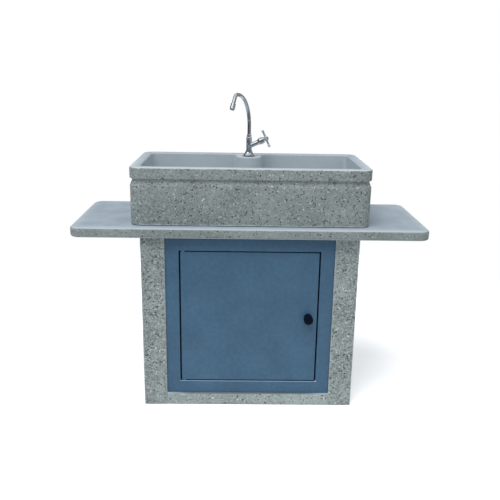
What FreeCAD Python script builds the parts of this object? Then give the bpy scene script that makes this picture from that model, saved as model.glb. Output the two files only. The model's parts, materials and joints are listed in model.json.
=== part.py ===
import FreeCAD, Part
import os
import re

import Sketcher
from FreeCAD import Vector

# A free-standing sink cabinet: concrete castings, a painted steel door and frame, a swan-neck tap.
# Origin on the floor under the middle of the worktop, +X to the right, +Y to the back, +Z up.

# Driving dimensions, in millimetres and degrees
SIZES = {
    # Worktop slab and the base below it
    "slab_width": (1268, "worktop, left to right"),
    "slab_depth": (460, "worktop, front to back"),
    "slab_thickness": (36, "worktop thickness"),
    "slab_corner_radius": (36, "worktop corners seen from above"),
    "slab_edge_radius": (8, "worktop upper and lower edges"),
    "front_overhang": (30, "worktop in front of the base"),
    "back_overhang": (30, "worktop behind the base"),
    "base_width": (783, "outside of the side panels"),
    "base_height": (662, "floor to worktop underside"),
    "panel_thickness": (86.5, "side panel thickness"),
    "panel_arris": (5, "rounding of the castings' front edges"),
    "floor_thickness": (49, "floor slab thickness"),
    "back_thickness": (35, "back panel thickness"),
    "rebate_depth": (18, "rebate in the side panels for the back panel"),
    "casting_clearance": (1, "joint between castings that slide together"),
    "dowel_radius": (6, "steel dowels between the castings"),
    "dowel_clearance": (0.2, "radial room around a dowel or plug"),
    "dowel_in_panel": (30, "worktop dowel's depth in a side panel"),
    "dowel_in_slab": (20, "worktop dowel's depth in the worktop"),
    "floor_dowel_half": (40, "floor dowel's depth on each side of its joint"),
    "dowel_from_edge": (80, "dowels from the base's front and back"),
    "supply_hole_radius": (16, "back panel's hole for a water pipe"),
    "supply_hole_x": (170, "supply hole to the right of the middle"),
    "supply_hole_z": (150, "supply hole above the floor"),
    # Basin on the worktop
    "bed_thickness": (3, "mortar bed under the basin"),
    "bed_setback": (6, "mortar bed behind the basin's faces"),
    "basin_width": (853, "basin rim, left to right"),
    "basin_depth": (420, "basin rim, front to back"),
    "basin_height": (203, "basin without its bed"),
    "basin_wall": (35, "basin wall at the rim"),
    "basin_floor": (50, "basin floor thickness"),
    "basin_corner_radius": (36, "basin corners seen from above"),
    "body_inset": (0.5, "lower wall behind the rim band"),
    "groove_inset": (8, "groove behind the rim band"),
    "rim_band": (40, "height of the rim band"),
    "groove_height": (25, "height of the groove under the rim band"),
    "groove_slope": (18, "height of the groove's sloping lower side"),
    "rim_edge_radius": (4, "rounding of the rim's outer edge"),
    "rim_lower_radius": (3, "rounding of the rim band's lower edge"),
    "bowl_corner_radius": (18, "bowl corners seen from above"),
    "bowl_floor_radius": (12, "rounding between bowl wall and floor"),
    "bowl_edge_radius": (5, "rounding of the rim's inner edge"),
    "boss_reach": (134, "tap column's front from the basin's back"),
    "boss_radius": (51, "half-round front of the tap column"),
    "boss_root_radius": (10, "rounding between tap column and wall"),
    "tap_from_back": (94, "tap axis from the worktop's back"),
    "tap_from_middle": (5, "tap axis and column to the left of the middle"),
    "drain_from_back": (250, "drain axis from the worktop's back"),
    "drain_from_middle": (70, "drain axis to the left of the middle, under the spout"),
    # Steel frame and door
    "frame_recess": (6, "frame face behind the panels' fronts"),
    "frame_clearance": (0.5, "room between frame and side panels"),
    "frame_top_gap": (4, "room between frame and worktop"),
    "frame_bar": (49.5, "face width of a frame bar"),
    "frame_sheet": (3, "frame sheet thickness"),
    "frame_depth": (45, "outer return of a frame bar"),
    "stop_depth": (28, "stop lip behind the frame face"),
    "stop_lip": (14, "stop lip width"),
    "side_gap": (5.5, "door gap at its left and right"),
    "end_gap": (4, "door gap at its top and bottom"),
    "leaf_depth": (22, "door leaf, front to back"),
    "leaf_sheet": (2, "door sheet thickness"),
    "leaf_flange": (14, "door's inward fold at its back"),
    "leaf_edge_radius": (1.2, "rounding of the door's folded edges"),
    "pivot_from_edge": (9, "pivot axis from the door's left edge"),
    "pivot_from_face": (9, "pivot axis behind the door's face"),
    "pivot_radius": (4, "pivot pins"),
    "pivot_reach": (4, "pivot pin past the frame bar"),
    "pin_head_radius": (6, "pivot pin head"),
    "pin_head_height": (3, "pivot pin head"),
    "pivot_washer_radius": (6.5, "spacer washers on the pivot pins"),
    "washer_slack": (0.4, "room above the upper spacer washer"),
    "running_clearance": (0.08, "radial room of pins and shafts that turn"),
    "hole_clearance": (0.2, "radial room of holes for parts that don't turn"),
    "screw_radius": (3, "frame screws"),
    "screw_length": (50, "frame screws under the head"),
    "screw_head_radius": (5.5, "frame screw head"),
    "screw_head_height": (3.5, "frame screw head"),
    "screw_from_end": (80, "outer frame screws from the frame's ends"),
    "screw_from_face": (30, "frame screws behind the frame face"),
    "plug_radius": (5, "wall plugs"),
    "plug_length": (55, "wall plugs"),
    # Knob and latch
    "knob_from_edge": (33, "knob axis from the door's right edge"),
    "knob_above_middle": (4, "knob axis above the door's middle"),
    "knob_radius": (17, "drum knob at its front"),
    "knob_reach": (35.5, "drum knob's front from the door face"),
    "knob_foot_radius": (16, "drum knob at the door"),
    "knob_front_radius": (7, "rounding of the knob's front edge"),
    "edge_bevel": (1, "small bevels of turned edges"),
    "knob_socket": (13, "spindle's depth in the knob"),
    "knob_gap": (0.3, "room between knob and bush"),
    "bush_radius": (6, "bush through the door"),
    "bush_length": (16, "bush behind the door face"),
    "bush_flange_radius": (10, "bush flange on the door face"),
    "bush_flange": (1.5, "bush flange thickness"),
    "bush_nut_across": (20, "bush nut across its flats"),
    "bush_nut_height": (4, "bush nut"),
    "spindle_radius": (4, "latch spindle"),
    "spindle_square": (6, "latch spindle's square end"),
    "cam_length": (36, "cam tip from the knob axis"),
    "cam_width": (16, "cam width"),
    "cam_thickness": (3, "cam plate"),
    "cam_gap": (0.5, "room between cam and stop lip"),
    "cam_nut_radius": (2.5, "spindle thread behind the cam"),
    "cam_nut_across": (8, "cam nut across its flats"),
    "cam_nut_height": (4, "cam nut"),
    "cam_thread": (7, "spindle thread length"),
    "bumper_radius": (4.5, "rubber buffers on the stop lip"),
    "bumper_gap": (0.3, "room between buffer and door"),
    "bumper_spread": (340, "distance between the two buffers"),
    # Tap
    "tap_gasket_height": (2, "rubber ring under the tap"),
    "tap_flange_radius": (25, "bell flange at the rim"),
    "tap_flange_height": (18, "bell flange"),
    "tap_flange_lip": (3, "bell flange's straight edge"),
    "tap_neck_radius": (14, "bell flange's top"),
    "tap_shank_radius": (12, "tap body inside the bell flange"),
    "tap_body_radius": (10.75, "tap body above the bell flange"),
    "tap_body_top": (70, "tap body's top above the rim"),
    "tap_shank_top": (24, "tap body's step above the rim"),
    "collar_thread": (8, "thread on the tap body for the collar"),
    "collar_thread_radius": (9, "thread on the tap body for the collar"),
    "collar_radius": (11, "collar nut below"),
    "collar_top_radius": (9, "collar nut above"),
    "collar_top": (84, "collar nut's top above the rim"),
    "tail_radius": (10.478, "threaded tail, half an inch pipe thread"),
    "tail_wall": (3, "threaded tail's wall"),
    "tail_thread": (46, "half-inch thread below the shank"),
    "tail_shank_radius": (11, "shank through column and worktop"),
    "tail_spigot_radius": (9.5, "tail's upper end in the tap body"),
    "tail_hole_radius": (13, "hole for the tail in column and worktop"),
    "tail_socket": (16, "tail's depth in the tap body"),
    "tail_free": (60, "tail below the worktop"),
    "tail_washer_radius": (19, "washer on the tail"),
    "tail_nut_across": (32, "back nut across its flats"),
    "tail_nut_height": (9, "back nut"),
    "washer_thickness": (3, "washers under the worktop"),
    "waterway_radius": (4.5, "bore of the tap body"),
    "spout_radius": (7, "swan-neck tube"),
    "spout_wall": (1.5, "swan-neck tube's wall"),
    "spout_foot": (14, "tube's depth in the tap body"),
    "spout_flange_radius": (8.8, "ring that the collar holds down"),
    "spout_flange": (2.2, "ring that the collar holds down"),
    "spout_straight_top": (117, "tube's straight part above the rim"),
    "spout_rise_radius": (122, "first bend, to the top"),
    "spout_fall_radius": (26, "second bend, to the nozzle"),
    "spout_fall_angle": (58, "turn of the second bend"),
    "spout_nozzle": (42, "straight end of the tube"),
    "spout_turn": (23, "tube's plane, to the left of the front"),
    "aerator_radius": (9.2, "nozzle sleeve"),
    "aerator_length": (20, "nozzle sleeve on the tube"),
    "aerator_lip": (3, "nozzle sleeve past the tube"),
    "aerator_rim": (2, "nozzle sleeve's wall at its mouth"),
    "screen_thickness": (1.5, "mesh disc in the nozzle"),
    # Valve and cross handle, along the inclined branch from the tap axis
    "branch_height": (38, "branch axis above the rim, at the tap axis"),
    "branch_tilt": (25, "branch above the horizontal"),
    "branch_radius": (9.5, "branch of the tap body"),
    "branch_length": (38, "branch's end"),
    "chamber_radius": (7.5, "valve chamber in the branch"),
    "chamber_start": (16, "valve chamber's floor"),
    "disc_radius": (7, "ceramic discs"),
    "disc_thickness": (3, "each ceramic disc"),
    "valve_foot": (3.8, "spindle foot on the discs"),
    "valve_foot_radius": (6.5, "spindle foot on the discs"),
    "valve_spindle_radius": (4, "valve spindle"),
    "bonnet_radius": (13, "bonnet's widest part"),
    "bonnet_length": (26, "bonnet outside the branch"),
    "bonnet_flare": (8, "bonnet's lower cone"),
    "bonnet_top_radius": (8.5, "bonnet's upper end"),
    "bonnet_round": (6, "bonnet's rounded upper edge"),
    "handle_gap": (0.8, "room between bonnet and handle"),
    "hub_radius": (9.5, "handle hub"),
    "hub_height": (16, "handle hub"),
    "hub_bevel": (4, "handle hub's bevelled ends"),
    "spindle_socket": (9, "spindle's depth in the hub"),
    "hub_web": (2, "hub's web under the screw head"),
    "screw_pilot_depth": (10, "thread for the handle screw"),
    "handle_screw_radius": (2, "handle screw"),
    "handle_screw_head_radius": (4.5, "handle screw head"),
    "handle_screw_head": (2.5, "handle screw head"),
    "cap_radius": (6.4, "cap in the hub"),
    "cap_seat": (3, "cap's lower face above the hub's web"),
    "cap_crown": (2.2, "cap's domed top"),
    "arm_height": (8, "arms above the hub's lower face"),
    "arm_reach": (36, "arm tip from the handle axis"),
    "arm_radius": (3.9, "arm at the hub"),
    "arm_end_radius": (5.4, "rounded arm end"),
    "handle_twist": (-15, "arms turned about the handle axis"),
    # Waste and bottle trap
    "waste_hole_radius": (27, "drain hole in basin and worktop"),
    "waste_recess": (5, "recess in the bowl floor"),
    "waste_recess_room": (2, "recess beyond the waste flange"),
    "waste_flange_radius": (36, "waste flange"),
    "waste_flange": (4, "waste flange thickness"),
    "waste_gasket": (2, "ring under the waste flange"),
    "waste_thread_radius": (24, "waste tube outside"),
    "waste_bore_radius": (20.5, "waste tube inside"),
    "waste_free": (40, "waste tube below the worktop"),
    "strainer_seat": (4, "strainer's rim past the waste bore"),
    "strainer_thickness": (2, "strainer disc"),
    "strainer_hole_radius": (2.6, "strainer holes"),
    "strainer_ring_radius": (12.5, "outer ring of strainer holes"),
    "strainer_inner_ring": (6, "inner ring of strainer holes"),
    "waste_washer_radius": (35, "washer on the waste tube"),
    "waste_nut_across": (62, "waste nut across its flats"),
    "waste_nut_height": (12, "waste nut"),
    "trap_washer": (2, "ring between waste tube and trap"),
    "trap_collar": (4, "trap's top collar"),
    "trap_pipe_radius": (20, "trap's inlet and outlet pipe outside"),
    "trap_wall": (3, "trap walls"),
    "trap_neck": (20, "inlet pipe above the bottle"),
    "bottle_radius": (34, "trap bottle"),
    "bottle_length": (78, "trap bottle without its cup"),
    "dip_length": (28, "inlet pipe below the bottle"),
    "union_nut_radius": (31, "nut between waste tube and trap"),
    "union_nut_lap": (10, "nut's thread on the waste tube"),
    "union_nut_shoulder": (6, "nut under the trap's collar"),
    "cup_radius": (38, "cup's grip ring"),
    "cup_lap": (14, "cup's thread on the bottle"),
    "cup_depth": (64, "cup below the bottle"),
    "cup_taper": (6, "cup's bevelled bottom"),
    "trap_seal": (3, "ring between bottle and cup"),
    "outlet_drop": (28, "outlet axis below the bottle's top"),
    "outlet_stub": (28, "outlet stub past the bottle"),
    "outlet_nut_lap": (16, "outlet nut on the stub"),
    "outlet_nut_cap": (6, "outlet nut past the stub"),
    "outlet_nut_wall": (6, "outlet nut outside the stub"),
    "outlet_run_radius": (19.4, "outlet pipe between trap and back panel"),
    "outlet_pipe_wall": (2, "outlet pipe's wall"),
    "outlet_spigot": (25, "outlet pipe's 40 mm end"),
    "outlet_pipe_reach": (28, "outlet pipe behind the back panel"),
    "outlet_hole_room": (3, "back panel's hole beyond the pipe"),
    "rosette_radius": (36, "cover ring on the back panel"),
    "rosette_thickness": (4, "cover ring on the back panel"),
}

# Levels and places worked out from the driving dimensions
SLAB_TOP = "(base_height + slab_thickness)"
BASIN_BOTTOM = f"({SLAB_TOP} + bed_thickness)"
RIM = f"({BASIN_BOTTOM} + basin_height)"
BASE_FRONT = "(front_overhang - slab_depth / 2)"
BASE_BACK = "(slab_depth / 2 - back_overhang)"
BACK_FRONT = f"({BASE_BACK} - back_thickness)"
BASIN_Y = "(slab_depth / 2 - basin_depth / 2)"
TAP_X = "(-tap_from_middle)"
TAP_Y = "(slab_depth / 2 - tap_from_back)"
DRAIN_X = "(-drain_from_middle)"
DRAIN_Y = "(slab_depth / 2 - drain_from_back)"
PANEL_INSIDE = "(base_width / 2 - panel_thickness)"
FACE_Y = f"({BASE_FRONT} + frame_recess)"
FRAME_HALF = f"({PANEL_INSIDE} - frame_clearance)"
STILE_INSIDE = f"({FRAME_HALF} - frame_bar)"
FRAME_TOP = "(base_height - frame_top_gap)"
SILL_TOP = "(floor_thickness + frame_bar)"
HEAD_BOTTOM = f"({FRAME_TOP} - frame_bar)"
STOP_Y = f"({FACE_Y} + stop_depth)"
LEAF_HALF = f"({STILE_INSIDE} - side_gap)"
LEAF_BOTTOM = f"({SILL_TOP} + end_gap)"
LEAF_TOP = f"({HEAD_BOTTOM} - end_gap)"
LEAF_HEIGHT = f"({LEAF_TOP} - {LEAF_BOTTOM})"
LEAF_MIDDLE = f"(({LEAF_TOP} + {LEAF_BOTTOM}) / 2)"
PIVOT_X = f"(pivot_from_edge - {LEAF_HALF})"
PIVOT_Y = f"({FACE_Y} + pivot_from_face)"
KNOB_X = f"({LEAF_HALF} - knob_from_edge)"
KNOB_Z = f"({LEAF_MIDDLE} + knob_above_middle)"
CAM_Y = f"({STOP_Y} + frame_sheet + cam_gap)"
WASTE_END = "(base_height - waste_free)"
BOTTLE_TOP = f"({WASTE_END} - trap_washer - trap_collar - trap_neck)"
BOTTLE_BOTTOM = f"({BOTTLE_TOP} - bottle_length)"
OUTLET_Z = f"({BOTTLE_TOP} - outlet_drop)"
STUB_END = f"({DRAIN_Y} + bottle_radius + outlet_stub)"

# Turns of a piece made along +Z
UPRIGHT = "rotation(vector(0; 0; 1); 0)"
TURN = {
    "+x": "rotation(vector(0; 1; 0); 90)",
    "-x": "rotation(vector(0; 1; 0); -90)",
    "+y": "rotation(vector(1; 0; 0); -90)",
    "-y": "rotation(vector(1; 0; 0); 90)",
    "+z": UPRIGHT,
    "-z": "rotation(vector(1; 0; 0); 180)",
}
BRANCH_TURN = "rotation(vector(0; 1; 0); 90 - branch_tilt)"

doc = FreeCAD.newDocument("SinkCabinet")
sheet = doc.addObject("Spreadsheet::Sheet", "Size")
for row, (name, (size, meaning)) in enumerate(SIZES.items(), 1):
    sheet.set(f"A{row}", name)
    sheet.set(f"B{row}", str(size))
    sheet.set(f"C{row}", meaning)
    sheet.setAlias(f"B{row}", name)
doc.recompute()

pieces = []


def tie(formula):
    """A formula in the sheet's names, written as the document reads it."""
    return re.sub(r"[a-z_]+", lambda word: "Size." + word[0] if word[0] in SIZES else word[0], formula)


def measure(formula):
    """The present value of a formula in the sheet's names."""
    return float(sheet.evalExpression(tie(formula)))


def piece(label, shape):
    """Keep a finished object as the sub-part of that name."""
    shape.Label = label
    pieces.append(shape)
    return shape


def place(shape, at, turn=UPRIGHT):
    """Tie an object's place and turn to the sheet."""
    x, y, z = (tie(value) for value in at)
    shape.setExpression("Placement", f"placement(vector({x}; {y}; {z}); {tie(turn)})")
    return shape


def block(name, x, y, z):
    """A box between its low and high sides on each axis."""
    box = doc.addObject("Part::Box", name)
    for side, (low, high) in zip(("Length", "Width", "Height"), (x, y, z)):
        box.setExpression(side, tie(f"({high}) - ({low})"))
    return place(box, (x[0], y[0], z[0]))


def rod(name, radius, length, at, along="+z"):
    """A round bar from a point, along an axis."""
    cylinder = doc.addObject("Part::Cylinder", name)
    cylinder.setExpression("Radius", tie(radius))
    cylinder.setExpression("Height", tie(length))
    return place(cylinder, at, TURN[along])


def join(name, shapes):
    """Several shapes as one."""
    fused = doc.addObject("Part::MultiFuse", name)
    fused.Shapes = shapes
    return fused


def cut(name, base, tools):
    """A shape with others taken out of it."""
    result = doc.addObject("Part::Cut", name)
    result.Base = base
    result.Tool = tools[0] if len(tools) == 1 else join(name + "_cutters", tools)
    return result


def group(name, shapes):
    """Like pieces that stay separate solids in one sub-part."""
    compound = doc.addObject("Part::Compound", name)
    compound.Links = shapes
    return compound


def sketch(body, name, plane, lift="0"):
    """An empty sketch on one of a body's own origin planes, lifted along that plane's normal."""
    drawing = body.newObject("Sketcher::SketchObject", name)
    origin_plane = next(item for item in body.Origin.OriginFeatures if item.Role == plane)
    drawing.AttachmentSupport = [(origin_plane, "")]
    drawing.MapMode = "FlatFace"
    drawing.setExpression("AttachmentOffset.Base.z", tie(lift))
    return drawing


def outline(drawing, points, closed=True):
    """Lines and arcs through points whose places are formulas. A third formula on a point is the
    radius of the arc to the next point: above zero it bulges to the left of the way, below to the right."""
    spots = [Vector(measure(point[0]), measure(point[1]), 0) for point in points]
    count = len(points) if closed else len(points) - 1
    curves = []
    for index in range(count):
        start, end = spots[index], spots[(index + 1) % len(spots)]
        if len(points[index]) == 2:
            curve = Part.LineSegment(start, end)
        else:
            radius = measure(points[index][2])
            half = (end - start) * 0.5
            rise = abs(radius) - (radius ** 2 - half.Length ** 2) ** 0.5
            left = Vector(-half.y, half.x, 0).normalize()
            curve = Part.Arc(start, start + half + left * (rise if radius > 0 else -rise), end)
        curves.append(drawing.addGeometry(curve))

    def ends(index):
        first = drawing.getPoint(curves[index], 1)
        return (1, 2) if first.distanceToPoint(spots[index]) < 1e-6 else (2, 1)

    def tied(kind, name, formula, *where):
        number = drawing.addConstraint(Sketcher.Constraint(kind, *where, measure(formula)))
        drawing.renameConstraint(number, name)
        drawing.setExpression("Constraints." + name, tie(formula))

    for index in range(count):
        following = (index + 1) % len(points)
        if following < count:
            link = (curves[index], ends(index)[1], curves[following], ends(following)[0])
            drawing.addConstraint(Sketcher.Constraint("Coincident", *link))
    for index, point in enumerate(points):
        where = (curves[index], ends(index)[0]) if index < count else (curves[-1], ends(index - 1)[1])
        tied("DistanceX", f"x{index}", point[0], *where)
        tied("DistanceY", f"y{index}", point[1], *where)
        if len(point) == 3:
            tied("Radius", f"r{index}", f"abs({point[2]})", curves[index])
    return drawing


def circle(drawing, radius):
    """A circle about the sketch's own origin."""
    number = drawing.addGeometry(Part.Circle(Vector(), Vector(0, 0, 1), measure(radius)))
    drawing.addConstraint(Sketcher.Constraint("Coincident", number, 3, -1, 1))
    drawing.addConstraint(Sketcher.Constraint("Radius", number, measure(radius)))
    drawing.renameConstraint(1, "radius")
    drawing.setExpression("Constraints.radius", tie(radius))
    return drawing


def pad(body, name, points, lift, height, kind="Pad"):
    """Material of a given outline, raised from a level of the body, or as a Pocket taken out below it."""
    feature = body.newObject(f"PartDesign::{kind}", name)
    feature.Profile = outline(sketch(body, name + "_outline", "XY_Plane", lift), points)
    feature.setExpression("Length", tie(height))
    doc.recompute()
    return feature


def loft(body, name, sections):
    """Material between two outlines at two levels."""
    drawings = [outline(sketch(body, f"{name}_{number}", "XY_Plane", lift), points)
                for number, (points, lift) in enumerate(sections)]
    feature = body.newObject("PartDesign::AdditiveLoft", name)
    feature.Profile = drawings[0]
    feature.Sections = drawings[1:]
    feature.Ruled = True
    doc.recompute()
    return feature


def round_edges(body, name, radius, chosen):
    """A fillet on the edges of the body's present shape that a test chooses."""
    base = body.Tip
    edges = [f"Edge{number}" for number, edge in enumerate(base.Shape.Edges, 1) if chosen(edge)]
    feature = body.newObject("PartDesign::Fillet", name)
    feature.Base = (base, edges)
    feature.setExpression("Radius", tie(radius))
    doc.recompute()
    return feature


def level(edge, height):
    """Whether an edge lies flat at a height."""
    return abs(edge.BoundBox.ZMin - height) < 1e-4 and abs(edge.BoundBox.ZMax - height) < 1e-4


def middle(edge):
    """A point half way along an edge."""
    return edge.valueAt((edge.FirstParameter + edge.LastParameter) / 2)


def turned(name, profile, at, turn=UPRIGHT):
    """A piece turned on a lathe: its profile gives radius and height along the axis."""
    body = doc.addObject("PartDesign::Body", name)
    drawing = outline(sketch(body, name + "_profile", "XZ_Plane"), profile)
    feature = body.newObject("PartDesign::Revolution", name + "_turning")
    feature.Profile = drawing
    feature.ReferenceAxis = (drawing, ["V_Axis"])
    feature.Angle = 360
    doc.recompute()
    return place(body, at, turn)


def ring(name, inside, outside, height, at, turn=UPRIGHT):
    """A washer, gasket or sleeve with a rectangular section."""
    corners = [(inside, "0"), (outside, "0"), (outside, height), (inside, height)]
    return turned(name, corners, at, turn)


def hexagon_nut(name, across, bore, height, at, turn=UPRIGHT):
    """A plain hexagon nut."""
    body = doc.addObject("PartDesign::Body", name + "_blank")
    corners = [(f"{across} / 2 / cos(30) * cos({angle})", f"{across} / 2 / cos(30) * sin({angle})")
               for angle in range(0, 360, 60)]
    pad(body, name + "_hexagon", corners, "0", height)
    nut = cut(name, body, [rod(name + "_bore", bore, height, ("0", "0", "0"))])
    return place(nut, at, turn)


def rounded_rectangle(width, depth, radius):
    """A rectangle about the origin, with round corners."""
    x, y = f"({width}) / 2", f"({depth}) / 2"
    inner_x, inner_y = f"({x} - ({radius}))", f"({y} - ({radius}))"
    bend = f"-({radius})"
    return [
        (f"-{inner_x}", f"-({y})"), (inner_x, f"-({y})", bend),
        (x, f"-{inner_y}"), (x, inner_y, bend),
        (inner_x, y), (f"-{inner_x}", y, bend),
        (f"-({x})", inner_y), (f"-({x})", f"-{inner_y}", bend),
    ]


def rectangle(x_low, x_high, y_low, y_high):
    """A rectangle between its low and high sides."""
    return [(x_low, y_low), (x_high, y_low), (x_high, y_high), (x_low, y_high)]


def span(side, near, far):
    """Low and high x of something between two distances from the middle, on the left or the right."""
    return (near, far) if side > 0 else (f"-({far})", f"-({near})")


SIDES = {"left": -1, "right": 1}
DOWEL_ROWS = {"front": f"({BASE_FRONT} + dowel_from_edge)", "back": f"({BASE_BACK} - dowel_from_edge)"}
SCREW_LEVELS = {
    "low": "(floor_thickness + screw_from_end)",
    "middle": f"((floor_thickness + {FRAME_TOP}) / 2)",
    "high": f"({FRAME_TOP} - screw_from_end)",
}
SCREW_Y = f"({FACE_Y} + screw_from_face)"
PANEL_MIDDLE = "(base_width / 2 - panel_thickness / 2)"
FLOOR_DOWEL_Z = "(floor_thickness / 2)"


def outward(side):
    """The axis that leads away from the middle on a side."""
    return "+x" if side > 0 else "-x"


def signed(side, distance):
    """A distance from the middle as an x on the left or the right."""
    return distance if side > 0 else f"-({distance})"


def make_side_panel(word, side):
    body = doc.addObject("PartDesign::Body", f"{word}_panel_casting")
    x_low, x_high = span(side, PANEL_INSIDE, "base_width / 2")
    pad(body, f"{word}_panel", rectangle(x_low, x_high, BASE_FRONT, BASE_BACK), "0", "base_height")
    front = measure(BASE_FRONT)
    round_edges(body, f"{word}_panel_arrises", "panel_arris",
                lambda edge: edge.BoundBox.ZLength > 1 and abs(middle(edge).y - front) < 1e-4)
    inside = f"{PANEL_INSIDE} - casting_clearance"
    cutters = [block(f"{word}_rebate", span(side, inside, f"{PANEL_INSIDE} + rebate_depth"),
                     (f"{BACK_FRONT} - casting_clearance", f"{BASE_BACK} + casting_clearance"),
                     ("floor_thickness - casting_clearance", "base_height + casting_clearance"))]
    for row, y in DOWEL_ROWS.items():
        depth = "(dowel_in_panel + casting_clearance)"
        at = (signed(side, PANEL_MIDDLE), y, f"base_height - {depth}")
        cutters.append(rod(f"{word}_{row}_top_hole", "dowel_radius + dowel_clearance", depth, at))
        at = (signed(side, PANEL_INSIDE), y, FLOOR_DOWEL_Z)
        cutters.append(rod(f"{word}_{row}_floor_hole", "dowel_radius + dowel_clearance",
                           "floor_dowel_half + casting_clearance", at, outward(side)))
    for row, z in SCREW_LEVELS.items():
        cutters.append(rod(f"{word}_{row}_plug_hole", "plug_radius + dowel_clearance",
                           "plug_length + casting_clearance",
                           (signed(side, PANEL_INSIDE), SCREW_Y, z), outward(side)))
    piece(f"{word}_side_panel", cut(f"{word}_panel_drilled", body, cutters))


def make_floor_slab():
    body = doc.addObject("PartDesign::Body", "floor_casting")
    pad(body, "floor", rectangle(f"-{PANEL_INSIDE}", PANEL_INSIDE, BASE_FRONT, BASE_BACK),
        "0", "floor_thickness")
    front = measure(BASE_FRONT)
    round_edges(body, "floor_arris", "panel_arris",
                lambda edge: edge.BoundBox.XLength > 1 and abs(middle(edge).y - front) < 1e-4)
    holes = [rod(f"floor_{word}_{row}_hole", "dowel_radius + dowel_clearance",
                 "floor_dowel_half + casting_clearance",
                 (signed(side, f"{PANEL_INSIDE} - floor_dowel_half - casting_clearance"), y, FLOOR_DOWEL_Z),
                 outward(side))
             for word, side in SIDES.items() for row, y in DOWEL_ROWS.items()]
    piece("floor_slab", cut("floor_drilled", body, holes))


def make_back_panel():
    half = f"({PANEL_INSIDE} + rebate_depth - casting_clearance)"
    slab = block("back_casting", (f"-{half}", half), (BACK_FRONT, BASE_BACK),
                 ("floor_thickness", "base_height - casting_clearance"))
    holes = [rod("outlet_hole", "trap_pipe_radius + outlet_hole_room", "back_thickness",
                 (DRAIN_X, BACK_FRONT, OUTLET_Z), "+y"),
             rod("supply_hole", "supply_hole_radius", "back_thickness",
                 ("supply_hole_x", BACK_FRONT, "supply_hole_z"), "+y")]
    piece("back_panel", cut("back_drilled", slab, holes))


def make_worktop_slab():
    body = doc.addObject("PartDesign::Body", "worktop_casting")
    pad(body, "worktop", rounded_rectangle("slab_width", "slab_depth", "slab_corner_radius"),
        "0", "slab_thickness")
    round_edges(body, "worktop_edges", "slab_edge_radius", lambda edge: edge.BoundBox.ZLength < 1)
    place(body, ("0", "0", "base_height"))
    holes = [rod("worktop_drain_hole", "waste_hole_radius", "slab_thickness",
                 (DRAIN_X, DRAIN_Y, "base_height")),
             rod("worktop_tail_hole", "tail_hole_radius", "slab_thickness", (TAP_X, TAP_Y, "base_height"))]
    holes += [rod(f"worktop_{word}_{row}_hole", "dowel_radius + dowel_clearance",
                  "dowel_in_slab + casting_clearance", (signed(side, PANEL_MIDDLE), y, "base_height"))
              for word, side in SIDES.items() for row, y in DOWEL_ROWS.items()]
    piece("worktop_slab", cut("worktop_drilled", body, holes))


def make_dowels():
    upright = [rod(f"{word}_{row}_worktop_dowel", "dowel_radius", "dowel_in_panel + dowel_in_slab",
                   (signed(side, PANEL_MIDDLE), y, "base_height - dowel_in_panel"))
               for word, side in SIDES.items() for row, y in DOWEL_ROWS.items()]
    piece("worktop_dowels", group("worktop_dowel_group", upright))
    lying = [rod(f"{word}_{row}_floor_dowel", "dowel_radius", "2 * floor_dowel_half",
                 (signed(side, f"{PANEL_INSIDE} - floor_dowel_half"), y, FLOOR_DOWEL_Z), outward(side))
             for word, side in SIDES.items() for row, y in DOWEL_ROWS.items()]
    piece("floor_dowels", group("floor_dowel_group", lying))


def basin_outline(inset):
    return rounded_rectangle(f"basin_width - 2 * ({inset})", f"basin_depth - 2 * ({inset})",
                             f"basin_corner_radius - ({inset})")


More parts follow.
